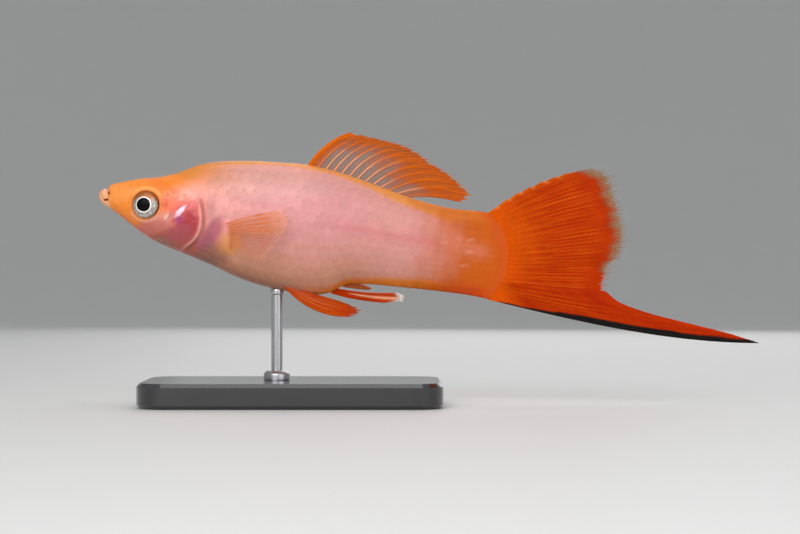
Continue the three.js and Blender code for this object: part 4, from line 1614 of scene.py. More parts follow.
@dataclass
class RayedFin:
    """A fin of rays and web, as one thin closed sheet.

    Rays run from the root line to the margin line, bowed to one side, and may branch. The
    web ends short of the ray tips, so that the margin is frayed.
    """

    name: str
    rays: int
    root: Pairs
    margin: Pairs
    bow: tuple[float, ...]
    tint: Callable[["RayedFin", Array, Array, Array], Array]
    split: Split = Split.TWICE
    rows: int = 56
    ray_thickness: float = 0.62
    web_thickness: float = 0.16
    tip_thickness: float = 0.1
    ray_width: float = 0.2
    notch: float = 0.05
    uneven: float = 0.012
    wave: float = 0.2
    seed: int = 1
    out: Callable[[Array, Array, Array], Array] | None = None
    front_edge: float = 0.35
    rear_edge: float = 0.35
    root_start: float = 0.0
    rise: float = 0.0
    skew: float = 0.0
    steps: int = 0
    step_height: float = 0.0
    # Width of a branch after each split, as a share of the whole ray's.
    branch_widths: Span = (0.55, 0.3)
    # Heights across a branch so thin that it has three columns.
    thin_branch: Triple = (0.2, 1.0, 0.2)
    roundness: float = 0.97
    thinning: float = 0.72
    tip_run: Span = (0.86, 1.0)
    tip_thinning: float = 0.75
    least_tip: float = 0.6
    ray_notch: float = 0.75
    tip_shape: float = 0.6

    def layout(self, branches: int, half_width: float) -> tuple[Array, Array]:
        """Places and heights of one ray's columns where it has so many branches.

        Args:
            branches: 1, 2 or 4.
            half_width: Half the width of a branch, as a share of the ray spacing.

        Returns:
            Offsets from the middle of the ray, and heights from 0 on the web to 1.
        """
        offsets = np.arange(COLUMNS) / COLUMNS - 0.5
        heights = np.zeros(COLUMNS)
        size = COLUMNS // branches
        across = np.linspace(-1.0, 1.0, size - 1)
        for j in range(branches):
            inner = slice(j * size + 1, (j + 1) * size)
            offsets[inner] = (j + 0.5) / branches - 0.5 + half_width * across
            round_top = np.sqrt(1.0 - (self.roundness * across) ** 2)
            heights[inner] = round_top if len(across) > 3 else self.thin_branch
        return offsets, heights

    def columns(self, t: Array, column: Array) -> tuple[Array, Array]:
        """Where points lie across the fin.

        Args:
            t: Share of the way from root to margin.
            column: Number of the column, counted over all rays.

        Returns:
            Share of the way from the first ray to the last, and the ridge's height.
        """
        ray, inner = column // COLUMNS, column % COLUMNS
        offsets, heights = (part[inner] for part in self.layout(1, self.ray_width))
        for level, (start, stop) in enumerate(self.split.value):
            branches = 2 ** (level + 1)
            half = self.ray_width * self.branch_widths[level]
            next_offsets, next_heights = (part[inner] for part in self.layout(branches, half))
            share = ease(start, stop, t)
            offsets = offsets + (next_offsets - offsets) * share
            heights = heights + (next_heights - heights) * share
        last = self.rays - 1
        offsets = np.where((ray == 0) & (offsets < 0), offsets * self.front_edge * 2.0, offsets)
        offsets = np.where((ray == last) & (offsets > 0), offsets * self.rear_edge * 2.0, offsets)
        return (ray + 0.5 + offsets) / self.rays, heights

    def course(self, s: Array, t: Array) -> Array:
        """Side-view points of the sheet, as rows of x and z."""
        start = SideLine(self.root).at(s)
        end = SideLine(self.margin).at(s)
        chord = end - start
        bows = np.interp(s, np.linspace(0.0, 1.0, len(self.bow)), self.bow)
        lift = (4.0 * t * (1.0 - t) * bows * (1.0 + self.skew * (t - 0.5)))[:, None]
        side = np.stack((-chord[:, 1], chord[:, 0]), axis=1)
        return start + chord * t[:, None] + side * lift

    def build(self) -> Piece:
        """Shapes a grid into the sheet, thickens it and paints it."""
        rng = np.random.default_rng(self.seed)
        width = self.rays * COLUMNS
        piece, place = grid(self.name, width, self.rows)
        column = np.rint(place[:, 0] * width).astype(int)
        rear_end = column == width
        column = np.where(rear_end, width - 1, column)
        row = place[:, 1]
        reach = self._reach(rng)[np.where(rear_end, width, column)]
        t = self.root_start + (1.0 - self.root_start) * row * reach
        s, height = self.columns(t, column)
        s = np.where(rear_end, (self.rays - 0.5 + self.rear_edge) / self.rays, s)
        height = np.where(rear_end, 0.0, height)
        low = (0.5 - self.front_edge) / self.rays
        high = (self.rays - 0.5 + self.rear_edge) / self.rays
        s = (s - low) / (high - low)
        if self.rise:
            height = height * ease(0.0, self.rise, t)
        flat = self.course(s, t)
        flat += self._steps(s, t)
        y = self._sideways(s, t)
        move_points(piece, PLACE.world(np.stack((flat[:, 0], y, flat[:, 1]), axis=1)))
        taper = 1.0 - ease(*self.tip_run, row) * self.tip_thinning
        over_web = (self.ray_thickness - self.web_thickness) * height * (1.0 - self.thinning * t)
        thick = (self.web_thickness + over_web) * taper
        thick = np.maximum(thick, self.tip_thickness * self.least_tip)
        colour = self.tint(self, s, t, height).clip(0.0, 1.0)
        colour[:, 3] = 1.0 - np.sqrt(1.0 - colour[:, 3])
        paint(piece, "marking", colour)
        self._thicken(piece, thick)
        return piece

    def _steps(self, s: Array, t: Array) -> Array:
        """Small steps along the front edge, where short rays end one after another."""
        phase = (t * self.steps) % 1.0
        rising = ease(0.0, 0.7, phase) * ease(1.0, 0.7, phase)
        near = ease(0.05, 0.0, s) * ease(0.06, 0.15, t) * ease(0.86, 0.7, t)
        lift = self.step_height * rising * near
        return np.stack((-0.5 * lift, 0.87 * lift), axis=1)

    def _reach(self, rng: np.random.Generator) -> Array:
        """How far towards the margin each column goes, with notches between tips."""
        width = self.rays * COLUMNS
        column = np.arange(width + 1)
        inner = column % COLUMNS
        tips = 2 ** len(self.split.value)
        size = COLUMNS // tips
        phase = (inner % size) / size
        tip = 1.0 - np.abs(2.0 * phase - 1.0) ** self.tip_shape
        depth = np.where(inner == 0, 1.0, self.ray_notch)
        per_tip = rng.normal(0.0, self.uneven, len(column) // size + 2)[column // size]
        per_ray = rng.normal(0.0, self.uneven, self.rays + 2)[(column + COLUMNS // 2) // COLUMNS]
        return 1.0 - self.notch * depth * (1.0 - tip) + per_tip * tip - np.abs(per_ray) * 0.5

    def _sideways(self, s: Array, t: Array) -> Array:
        """How far from the middle of the fish each point lies."""
        long_wave = np.sin(9.0 * s + 2.0 * t + self.seed)
        short_wave = np.sin(23.0 * s - 3.0 * t + 2.0 * self.seed)
        ripple = self.wave * t * t * (long_wave + 0.5 * short_wave)
        if self.out is None:
            return ripple / 1.5
        return self.out(s, t, ripple)

    @staticmethod
    def _thicken(piece: Piece, thick: Array) -> None:
        """Gives the sheet its own thickness at each point, closed all round."""
        full = float(thick.max())
        group = piece.vertex_groups.new(name="thickness")
        shares = np.round(thick / full, 3)
        for value in np.unique(shares):
            group.add(np.flatnonzero(shares == value).tolist(), float(value), "REPLACE")
        apply_modifier(piece, "SOLIDIFY", thickness=full * MM, offset=0.0, vertex_group="thickness")
        piece.vertex_groups.clear()


@dataclass(frozen=True)
class FinColours:
    """The colours of the fins, and how each fin wears them."""

    red: Colour = (0.44, 0.018, 0.0)
    orange: Colour = (0.58, 0.05, 0.0)
    gold: Colour = (0.80, 0.165, 0.002)
    root: Colour = (0.70, 0.09, 0.0)
    # Pale orange for painted highlights on the caudal's front-edge steps.
    bright: Colour = (0.94, 0.34, 0.09)
    amber: Colour = (0.60, 0.105, 0.004)
    brown: Colour = (0.30, 0.10, 0.025)
    peach: Colour = (0.95, 0.55, 0.34)
    smoke: Colour = (0.24, 0.17, 0.12)
    olive: Colour = (0.34, 0.24, 0.08)
    black: Colour = (0.012, 0.010, 0.009)
    bone: Colour = (0.80, 0.76, 0.68)
    band: Pairs = (
        (64, 0.05), (66, 0.16), (70, 0.24), (73, 0.42), (76, 0.75), (80, 0.95), (90, 1.0),
        (98, 0.9), (104, 0.7), (109, 0.8),
    )
    frayed_grey: Colour = (0.34, 0.33, 0.34)
    pectoral_upper: Colour = (0.92, 0.36, 0.13)
    pectoral_ray: Colour = (0.86, 0.24, 0.06)
    pectoral_faint: Colour = (0.62, 0.27, 0.13)
    pectoral_root: Colour = (0.86, 0.30, 0.16)
    pectoral_root_ray: Colour = (0.86, 0.28, 0.14)
    rod_dark: Colour = (0.36, 0.045, 0.01)
    flap_web: Colour = (0.50, 0.10, 0.008)
    flap_ray: Colour = (0.26, 0.055, 0.006)

    def caudal(self, fin: RayedFin, s: Array, t: Array, height: Array) -> Array:
        """Tail fan: golden root, deep red-orange, clear olive fringe, painted highlights on the
        front-edge steps.
        """
        base = even(self.red, 1.0, s)
        blot = wobble(40.0 * s, 30.0 * t, 3.0)
        lay(base, self.orange, 0.6 + 0.2 * blot)
        golden = ease(0.4, 0.04, t + 0.05 * blot) * lump(s, 0.42, 0.4)
        lay(base, self.gold, 0.35 * golden)
        lay(base, self.root, ease(0.34, 0.02, t))
        lay(base, self.gold, 0.45 * height * (1.0 - ease(0.7, 0.95, t)) * (0.7 + 0.3 * blot))
        lay(base, self.red, 0.4 * (1.0 - height) * ease(0.2, 0.5, t) * ease(0.95, 0.8, t))
        streak = wobble(260.0 * s, 5.0 * t, 3.0)
        lay(base, self.gold, 0.3 * streak * ease(0.1, 0.3, t) * ease(0.9, 0.7, t))
        uneven = 0.012 * np.sin(31.0 * s) + 0.01 * np.sin(83.0 * s) - 0.2 * ease(0.78, 1.0, s)
        fringe = ease(0.84, 0.97, t + uneven + 0.03 * ease(0.25, 0.0, s))
        lay(base, self.olive, 0.7 * fringe, 0.95)
        lay(base, self.olive, 0.6 * fringe * (1.0 - ease(0.1, 0.6, height)), 0.4)
        lay(base, self.brown, 0.5 * fringe * ease(0.2, 0.7, height), 0.95)
        # Painted highlights on the tips of the small steps along the front edge.
        tips = ease(0.6, 1.0, (t * fin.steps) % 1.0) * ease(0.05, 0.0, s) * ease(0.8, 0.6, t)
        lay(base, self.gold, 0.5 * ease(0.04, 0.0, s) * ease(0.9, 0.7, t), 1.0)
        lay(base, self.bright, 0.8 * tips, 1.0)
        return base

    def sword(self, fin: RayedFin, s: Array, t: Array, height: Array) -> Array:
        """Sword: glowing red-orange with pale ray lines and a black lower edge."""
        base = even(self.red, 1.0, s)
        blot = wobble(14.0 * s, 40.0 * t, 3.0)
        lay(base, self.orange, 0.35 + 0.25 * blot)
        lay(base, self.root, ease(0.16, 0.02, t))
        lay(base, self.gold, 0.55 * height * lump(s, 0.35, 0.3) * ease(0.75, 0.4, t))
        flat = fin.course(s, t)
        along = np.linspace(0.0, 1.0, 120)
        edge = fin.course(np.ones_like(along), along)
        above = flat[:, 1] - np.interp(flat[:, 0], edge[:, 0], edge[:, 1])
        depth = np.interp(flat[:, 0], *np.array(self.band).T)
        depth = depth + 0.06 * wobble(flat[:, 0], flat[:, 1], 1.2)
        black = ease(depth + 0.1, depth - 0.1, above) * ease(64.9, 66.0, flat[:, 0])
        lay(base, self.black, black)
        return base

    def dorsal(self, fin: RayedFin, s: Array, t: Array, height: Array) -> Array:
        """Dorsal fin: smoky clear web low in front, orange outside, grey frayed tips."""
        base = even(self.amber, 0.97, s)
        blot = wobble(30.0 * s, 20.0 * t, 2.6)
        streak = wobble(170.0 * s, 6.0 * t, 3.0)
        lay(base, self.gold, 0.2 + 0.2 * blot + 0.15 * streak)
        rearward = 0.3 * ease(0.35, 0.85, s)
        clear = ease(0.74, 0.24, t + 0.09 * blot + 0.1 * streak + rearward) * ease(0.05, 0.16, s)
        web = clear * (1.0 - ease(0.1, 0.5, height))
        lay(base, self.brown, (0.3 + 0.25 * streak) * (1.0 - height) * (1.0 - clear))
        patch = ease(0.05, 0.6, wobble(24.0 * s + 3.0, 14.0 * t, 2.2))
        patch = patch * (1.0 - height) * ease(0.9, 0.3, s)
        lay(base, self.brown, 0.6 * patch * ease(0.3, 0.5, t), 0.9)
        lay(base, self.smoke, 0.85 * web, 0.45)
        lay(base, self.peach, 0.75 * height * clear, 1.0)
        lay(base, self.gold, 0.7 * height * (1.0 - clear), 1.0)
        tips = ease(0.88, 0.99, t) * ease(0.9, 0.4, s)
        lay(base, self.olive, 0.6 * tips, 0.7)
        lay(base, self.frayed_grey, 0.7 * tips * ease(0.3, 0.05, s), 0.7)
        lay(base, self.gold, 0.9 * ease(0.08, 0.0, s) * ease(0.96, 0.85, t), 1.0)
        return base

    def pectoral(self, fin: RayedFin, s: Array, t: Array, height: Array) -> Array:
        """Pectoral fin: orange upper rays in a web that hardly shows."""
        base = even(self.gold, 0.16, s)
        upper = ease(0.6, 0.36, s)
        lay(base, self.pectoral_upper, upper, 0.45)
        lay(base, self.gold, 0.9 * ease(0.22, 0.06, t) * ease(0.2, 0.5, s), 0.55)
        ray = ease(0.15, 0.7, height)
        lay(base, self.pectoral_ray, ray * upper, 0.9)
        lay(base, self.pectoral_faint, ray * (1.0 - upper), 0.4)
        lay(base, self.peach, 0.4 * ease(0.7, 1.0, t), 0.2)
        lay(base, self.pectoral_root, 0.8 * (1.0 - ray) * ease(0.16, 0.04, t), 0.02)
        lay(base, self.pectoral_root_ray, 0.8 * ray * ease(0.12, 0.02, t), 0.3)
        return base

    def pelvic(self, fin: RayedFin, s: Array, t: Array, height: Array) -> Array:
        """Pelvic fin: red-orange with peach ray lines and clear tips."""
        base = even(self.orange, 0.97, s)
        lay(base, self.gold, 0.3 + 0.2 * wobble(8.0 * s, 12.0 * t, 2.0))
        lay(base, self.red, 0.3 * (1.0 - height))
        lay(base, self.peach, 0.2 * height * ease(0.9, 0.3, t) * lump(s, 0.45, 0.3))
        lay(base, self.orange, 0.6 * ease(0.75, 1.0, t), 0.7)
        return base

    def rod(self, fin: RayedFin, s: Array, t: Array, height: Array) -> Array:
        """Gonopodium: orange rod with a pale ray line and a clear grey tip."""
        base = even(self.orange, 1.0, s)
        lay(base, self.peach, 0.75 * lump(s, 0.62, 0.1) * ease(0.1, 0.3, t))
        lay(base, self.rod_dark, 0.6 * lump(s, 0.82, 0.07))
        lay(base, self.rod_dark, 0.5 * lump(s, 0.40, 0.06) * ease(0.9, 0.7, t))
        lay(base, self.bone, 0.9 * ease(0.86, 0.95, t), 0.85)
        return base

    def flap(self, fin: RayedFin, s: Array, t: Array, height: Array) -> Array:
        """Short rays behind the gonopodium: brown clear web with an orange rim."""
        base = even(self.flap_web, 0.95, s)
        lay(base, self.flap_ray, 0.7 * height, 0.97)
        lay(base, self.orange, ease(0.8, 1.0, s), 1.0)
        return base


@dataclass(frozen=True)
class Claw:
    """A small clear claw: its lean in degrees, how far up it sits, and its length."""

    lean: float
    lift: float
    length: float


@dataclass
class Fins:
    """All fins of the fish."""

    body: Body
    colours: FinColours = field(default_factory=FinColours)
    pectoral_root: Pairs = ((20.3, -2.2), (20.8, -3.3), (21.2, -4.4), (21.5, -5.5))
    claws: tuple[Claw, ...] = (
        Claw(-14.0, 0.4, 0.6), Claw(0.0, 0.12, 0.75), Claw(10.0, -0.2, 0.7), Claw(20.0, -0.45, 0.5),
    )
    claw_radii: Span = (0.17, 0.03)
    claw_sides: int = 10
    claw_bevel: float = 0.02
    claw_bend: float = 0.42
    claw_place: Span = (49.95, -9.95)
    claw_spacing: float = 0.8
    claw_weld: float = 1e-7

    def dorsal(self) -> RayedFin:
        """The sail on the back."""
        return RayedFin(
            name="dorsal_sail", rays=13, split=Split.ONCE,
            root=((32.2, 8.6), (36.7, 8.2), (42.4, 7.1), (48.4, 5.9)),
            margin=((39.1, 15.6), (43.5, 15.1), (48.7, 14.2), (53.7, 11.8), (57.9, 9.4),
                    (59.7, 7.6), (58.1, 6.3)),
            bow=(0.1, 0.14, 0.16, 0.13, 0.06), tint=self.colours.dorsal, ray_thickness=0.44,
            web_thickness=0.12, notch=0.12, uneven=0.03, wave=0.18, seed=3, root_start=-0.06,
            ray_width=0.12,
        )

    def caudal(self) -> RayedFin:
        """The fan of the tail."""
        return RayedFin(
            name="tail_fan", rays=17, root=((62.0, 5.3), (64.0, 2.6), (65.0, -1), (65.0, -5.45)),
            margin=((78.4, 14.9), (81, 14), (82.9, 10.6), (84.7, 6), (84.8, 2.1), (82.9, -0.8),
                    (82.5, -4.55)),
            bow=(0.062, 0.03, 0, -0.01, 0), tint=self.colours.caudal, rows=72,
            ray_thickness=0.34, web_thickness=0.2, notch=0.075, uneven=0.014, wave=0.22, seed=5,
            ray_width=0.12, root_start=-0.05, rise=0.4, steps=9, step_height=0.13,
        )

    def sword(self) -> RayedFin:
        """The long lower rays of the tail."""
        margin = (
            (82.5, -4.55), (85, -6.05), (89.8, -7.1), (95, -7.72), (102.5, -8.55), (108.1, -9.5),
        )
        return RayedFin(
            name="sword_blade", rays=8, split=Split.NEVER,
            root=((65.0, -5.4), (65.0, -6.6), (64.9, -7.5), (64.7, -8.45)), margin=margin,
            bow=(0.005, -0.01, -0.023, -0.03, -0.03), skew=0.6, tint=self.colours.sword, rows=90,
            ray_thickness=0.4, web_thickness=0.26, ray_width=0.12, notch=0.004, uneven=0.0,
            wave=0.12, seed=8, root_start=-0.02, rise=0.08,
        )

    def pectoral(self, side: int) -> RayedFin:
        """The fan behind a gill cover; side is -1 for the left and 1 for the right."""
        spread, flare, depth = 3.1, 0.8, 0.35

        def out(s: Array, t: Array, ripple: Array) -> Array:
            """The fan swings out from the flank."""
            start = SideLine(self.pectoral_root).at(s)
            flank = self._flank(start[:, 0], start[:, 1]) - depth
            away = spread * np.sin(0.5 * math.pi * np.clip(t, -0.2, 1.0)) + flare * t
            return side * (flank + away + 0.5 * ripple)

        return RayedFin(
            name="pectoral_fan_left" if side < 0 else "pectoral_fan_right", rays=12,
            root=self.pectoral_root, split=Split.ONCE,
            margin=((30.1, 1.4), (31.1, 0.6), (31.2, -1.2), (30.3, -3.2), (29.1, -5.3), (28, -6.9)),
            bow=(0.03, 0, 0, 0, -0.03), tint=self.colours.pectoral, ray_thickness=0.34,
            web_thickness=0.07, notch=0.05, uneven=0.015, seed=11, out=out, ray_width=0.12,
            wave=0.15, rise=0.1, root_start=-0.04,
        )

    def pelvic(self, side: int) -> RayedFin:
        """A fin under the belly; side is -1 for the left and 1 for the right."""
        root_y, margin_y = (1.7, 1.0), (3.4, 1.2)

        def out(s: Array, t: Array, ripple: Array) -> Array:
            """The front rays stand further out than the rear ones."""
            root = root_y[0] + (root_y[1] - root_y[0]) * s
            margin = margin_y[0] + (margin_y[1] - margin_y[0]) * s
            return side * (root + (margin - root) * t + 0.3 * ripple)

        return RayedFin(
            name="pelvic_fan_left" if side < 0 else "pelvic_fan_right", rays=6,
            root=((31.4, -10.6), (32.3, -10.7), (33.1, -10.8), (33.9, -10.8)),
            margin=((42.7, -13.9), (43.9, -12.9), (42.9, -12.3), (41, -11.95)),
            bow=(-0.12, -0.08, -0.04, 0), tint=self.colours.pelvic, split=Split.ONCE,
            ray_thickness=0.42, web_thickness=0.14, notch=0.06, uneven=0.02, seed=13, out=out,
            wave=0.1, root_start=-0.05,
        )

    def gonopodium(self) -> RayedFin:
        """The rod of fused rays under the belly."""
        return RayedFin(
            name="gonopodium_rod", rays=4, split=Split.NEVER,
            root=((39.2, -10.75), (39.6, -10.45), (40.0, -10.1), (40.4, -9.8)),
            margin=((48.7, -10.9), (50.1, -10.4), (50.6, -9.8), (49.9, -9.1)),
            bow=(-0.035, -0.03, -0.03, -0.03), tint=self.colours.rod, ray_thickness=0.95,
            web_thickness=0.4, ray_width=0.34, notch=0.02, uneven=0.01, wave=0.02, seed=17,
            root_start=-0.05,
        )

    def flap(self) -> RayedFin:
        """The short rays behind the gonopodium."""
        return RayedFin(
            name="anal_flap", rays=5, split=Split.NEVER,
            root=((40.5, -9.4), (41, -9), (41.4, -8.75), (41.9, -8.5)),
            margin=((44.6, -9.35), (45.1, -9.25), (45.3, -9.15), (45.3, -9.05)),
            bow=(-0.02, 0, 0.02, 0.04), tint=self.colours.flap, ray_thickness=0.36,
            web_thickness=0.14, notch=0.04, uneven=0.01, wave=0.05, seed=19, rows=24,
            root_start=-0.08,
        )

    def _flank(self, x: Array, z: Array) -> Array:
        """How far the flank is from the middle of the fish at side-view points."""
        middle = self.body.widest_height_at(x)
        above = z > middle
        reach = np.where(above, self.body.back_at(x) - middle, middle - self.body.belly_at(x))
        shape = np.where(above, self.body.upper_shape_at(x), self.body.lower_shape_at(x))
        share = np.clip(np.abs(z - middle) / reach, 0.0, 1.0)
        return self.body.half_width_at(x) * (1.0 - share**shape) ** (1.0 / shape)

    def hooks(self) -> Piece:
        """Small clear claws at the end of the gonopodium."""
        made = [self._claw(claw) for claw in self.claws]
        bpy.ops.object.select_all(action="DESELECT")
        for claw in made:
            claw.select_set(True)
        piece = bpy.context.view_layer.objects.active = made[0]
        bpy.ops.object.join()
        piece.name = piece.data.name = "gonopodium_hooks"
        weld(piece, self.claw_weld)
        return piece

    def _claw(self, claw: Claw) -> Piece:
        """Bends a thin cone into one claw and sets it on the end of the rod."""
        wide, narrow = self.claw_radii
        piece = start_piece(
            "claw", bpy.ops.mesh.primitive_cone_add, vertices=self.claw_sides, radius1=wide,
            radius2=narrow, depth=1.0,
        )
        apply_modifier(piece, "BEVEL", width=self.claw_bevel, segments=2)
        x, y, z = points_of(piece).T
        along = (z + 0.5) * claw.length
        bend = self.claw_bend * along**2 * math.copysign(1.0, claw.lift)
        turn = math.radians(claw.lean)
        place_x, place_z = self.claw_place
        place_z = place_z + claw.lift * self.claw_spacing
        fish_x = place_x + along * math.cos(turn) + (x + bend) * math.sin(turn)
        fish_z = place_z - along * math.sin(turn) + (x + bend) * math.cos(turn)
        move_points(piece, PLACE.world(np.stack((fish_x, y, fish_z), axis=1)))
        return piece


# Stand and studio.


@dataclass
class Stand:
    """Small steel parts that tie the rod to the base and the belly, in metres."""

    rod_x: float = -24.5 * MM
    collar_radius: float = 2.1 * MM
    collar_height: float = 1.1 * MM
    collar_middle: float = 4.5 * MM
    collar_step: float = 0.5 * MM
    chamfer: float = 0.55 * MM
    collar_bevel: float = 0.12 * MM
    saddle_radius: float = 1.05 * MM
    saddle_height: float = 1.0 * MM
    saddle_sink: float = 0.35 * MM
    saddle_bevel: float = 0.18 * MM
    near: float = 0.01 * MM

    def _turned(self, name: str, sides: int, radius: float, height: float, middle: float) -> Piece:
        """Adds an upright cylinder on the rod's axis.

        Args:
            name: Name of the piece.
            sides: Number of its sides.
            radius: Its radius.
            height: Its height.
            middle: Height of its middle above the floor.

        Returns:
            The piece, with its place in its mesh.
        """
        piece = start_piece(
            name, bpy.ops.mesh.primitive_cylinder_add, vertices=sides, radius=radius,
            depth=height, location=(self.rod_x, 0.0, middle), end_fill_type="NGON",
        )
        bpy.ops.object.transform_apply(location=True, rotation=False, scale=False)
        return piece

    def collar(self) -> Piece:
        """A turned ring round the foot of the rod."""
        piece = self._turned(
            "rod_collar", 64, self.collar_radius, self.collar_height, self.collar_middle,
        )
        with editing(piece, whole=False):
            bpy.ops.mesh.select_all(action="DESELECT")
        top = max(face.center.z for face in piece.data.polygons)
        for face in piece.data.polygons:
            face.select = face.center.z > top - self.near
        with editing(piece, whole=False):
            bpy.ops.mesh.inset(thickness=self.chamfer)
            bpy.ops.transform.translate(value=(0.0, 0.0, self.collar_step))
            bpy.ops.mesh.inset(thickness=self.collar_step)
            bpy.ops.mesh.select_all(action="SELECT")
            bpy.ops.mesh.normals_make_consistent(inside=False)
        apply_modifier(piece, "BEVEL", width=self.collar_bevel, segments=3, limit_method="ANGLE")
        return piece

    def saddle(self) -> Piece:
        """A small cup between the top of the rod and the belly."""
        rod_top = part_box("stand_rod")[1][2]
        piece = self._turned(
            "rod_saddle", 48, self.saddle_radius, self.saddle_height, rod_top - self.saddle_sink,
        )
        apply_modifier(piece, "BEVEL", width=self.saddle_bevel, segments=3, limit_method="ANGLE")
        return piece


@dataclass(frozen=True)
class Lamp:
    """A soft square light: its place and side in millimetres, and its watts."""

    name: str
    place: Triple
    size: float
    power: float


@dataclass
class Studio:
    """Camera, lights and a pale sweep of floor."""

    view_x: float = -4.8
    view_z: float = 22.08
    distance: float = 355.6
    lens: float = 100.0
    floor_radius: float = 520.0
    sweep: float = 1000.0
    wall_height: float = 600.0
    sensor_width: float = 36.0
    nearest_seen: float = 0.01
    target: Triple = (-5.0, 0.0, 24.0)
    lamps: tuple[Lamp, ...] = (
        Lamp("key", (-110.0, -350.0, 215.0), 320.0, 1.0),
        Lamp("fill", (260.0, -320.0, 50.0), 320.0, 0.38),
        Lamp("top", (10.0, 70.0, 380.0), 260.0, 0.3),
        Lamp("back", (60.0, 350.0, 190.0), 320.0, 0.32),
    )
    sky: Colour = (0.96, 0.97, 1.0)
    sky_strength: float = 0.5

    def camera(self) -> None:
        """A level camera on the left of the fish."""
        data = bpy.data.cameras.new("camera")
        data.lens = self.lens
        data.sensor_width = self.sensor_width
        data.clip_start = self.nearest_seen
        camera = bpy.data.objects.new("camera", data)
        camera.location = (self.view_x * MM, -self.distance * MM, self.view_z * MM)
        camera.rotation_euler = (math.radians(90.0), 0.0, 0.0)
        bpy.context.collection.objects.link(camera)
        bpy.context.scene.camera = camera

    def light(self, lamp: Lamp) -> None:
        """Adds a lamp that shines at the fish."""
        data = bpy.data.lights.new(lamp.name, "AREA")
        data.size = lamp.size * MM
        data.energy = lamp.power
        made = bpy.data.objects.new(lamp.name, data)
        made.visible_camera = False
        gap = np.array(self.target) - np.array(lamp.place)
        made.location = np.array(lamp.place) * MM
        flat = math.hypot(gap[0], gap[1])
        made.rotation_euler = (
            math.atan2(flat, -gap[2]), 0.0, math.atan2(gap[1], gap[0]) - math.pi / 2,
        )
        bpy.context.collection.objects.link(made)

    def floor(self, finish: PlainFinish, effects: Effects) -> None:
        """A round floor whose rim sweeps up into a wall on all sides."""
        piece, place = grid("floor", 96, 60)
        arc = self.sweep * math.pi / 2
        travelled = place[:, 1] * (self.floor_radius + arc + self.wall_height)
        rise_turn = np.clip((travelled - self.floor_radius) / self.sweep, 0.0, math.pi / 2)
        reach = np.minimum(travelled, self.floor_radius) + self.sweep * np.sin(rise_turn)
        above = np.maximum(travelled - self.floor_radius - arc, 0.0)
        rise = self.sweep * (1.0 - np.cos(rise_turn)) + above
        turn = -2.0 * math.pi * place[:, 0]
        move_points(piece, np.stack((reach * np.cos(turn), reach * np.sin(turn), rise), axis=1) * MM)
        weld(piece, closed=False)
        piece.data.materials.append(finish.material(effects))
        bpy.ops.object.shade_smooth()

    def world(self) -> None:
        """Even light from all round."""
        world = bpy.data.worlds.new("studio")
        world.use_nodes = True
        sky = world.node_tree.nodes["Background"]
        sky.inputs["Color"].default_value = (*self.sky, 1.0)
        sky.inputs["Strength"].default_value = self.sky_strength
        bpy.context.scene.world = world


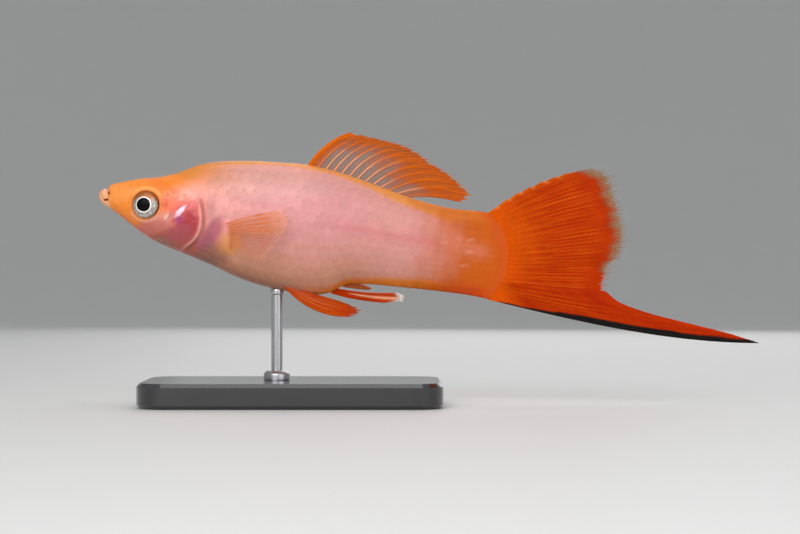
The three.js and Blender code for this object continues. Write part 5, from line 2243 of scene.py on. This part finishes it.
def main() -> None:
    """Builds and dresses the fish, its stand and the studio."""
    logging.basicConfig(level=logging.INFO, format="%(message)s")
    effects = Effects()
    body = Body()
    markings = Markings(body)

    skin_finish = SkinFinish(
        "wet_skin", roughness=0.42, spread=0.25, grain_scale=2200.0, bump=0.2,
        bump_depth=0.03 * MM, coat=0.3, coat_roughness=0.2,
    ).material(effects)
    fin_finish = FinFinish(
        "fin", roughness=0.5, spread=0.3, grain_scale=2600.0, bump=0.3,
        bump_depth=0.03 * MM, coat=0.0,
    ).material(effects)

    flesh = ("head", "upper_lip", "lower_jaw", "gill_cover_left", "gill_cover_right", "torso",
             "tail_stalk")
    finish_piece(Skin(body, Relief(body), markings).build(), skin_finish, flesh)
    finish_piece(Scales(body, markings).build(), skin_finish, angle=50.0)

    for side, word in ((-1, "left"), (1, "right")):
        eye = Eye(side)
        middle = PLACE.world(np.array([[eye.pupil[0], 0.0, eye.pupil[1]]]))[0]
        eye_finish = EyeFinish(
            f"eye_{word}_finish", roughness=0.35, spread=0.1, coat=0.06, coat_roughness=0.02,
            bump=0.1, pupil_x=float(middle[0]), pupil_z=float(middle[2]),
        ).material(effects)
        finish_piece(eye.build(f"eyeball_{word}"), eye_finish, (f"eye_{word}",))

    fins = Fins(body)
    for fin, nodes in (
        (fins.dorsal(), ("dorsal_fin",)), (fins.caudal(), ("caudal_fin",)),
        (fins.sword(), ("sword",)), (fins.gonopodium(), ("gonopodium",)), (fins.flap(), ()),
        (fins.pectoral(-1), ("pectoral_fin_left",)), (fins.pectoral(1), ("pectoral_fin_right",)),
        (fins.pelvic(-1), ("pelvic_fin_left",)), (fins.pelvic(1), ("pelvic_fin_right",)),
    ):
        finish_piece(fin.build(), fin_finish, nodes, angle=70.0)
    claw_finish = PlainFinish(
        "clear_claw", colour=(0.72, 0.70, 0.66), roughness=0.2, coat=0.6, amount=0.3,
        grain_scale=3000.0,
    ).material(effects)
    finish_piece(fins.hooks(), claw_finish, angle=60.0)

    base_finish = PlainFinish(
        "polished_black", colour=(0.016, 0.016, 0.018), roughness=0.16, spread=0.06, coat=0.8,
        coat_roughness=0.05, amount=0.4, grain_scale=900.0, bump=0.03,
    ).material(effects)
    steel_finish = PlainFinish(
        "brushed_steel", colour=(0.56, 0.56, 0.58), roughness=0.3, spread=0.2, metallic=1.0,
        amount=0.15, grain_scale=2400.0, bump=0.12,
    ).material(effects)
    for node, material in (("stand_base", base_finish), ("stand_rod", steel_finish)):
        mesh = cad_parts[node].data
        mesh.materials.clear()
        mesh.materials.append(material)
    stand = Stand()
    finish_piece(stand.collar(), steel_finish, angle=40.0)
    finish_piece(stand.saddle(), steel_finish, angle=40.0)

    studio = Studio()
    studio.camera()
    studio.floor(PlainFinish("pale_floor", colour=(0.72, 0.72, 0.71), roughness=0.6, amount=0.03,
                             bump=0.02, scales=(3.0, 60.0)), effects)
    for lamp in studio.lamps:
        studio.light(lamp)
    studio.world()
    bpy.context.scene.view_settings.view_transform = "Standard"


if __name__ == "__main__":
    main()
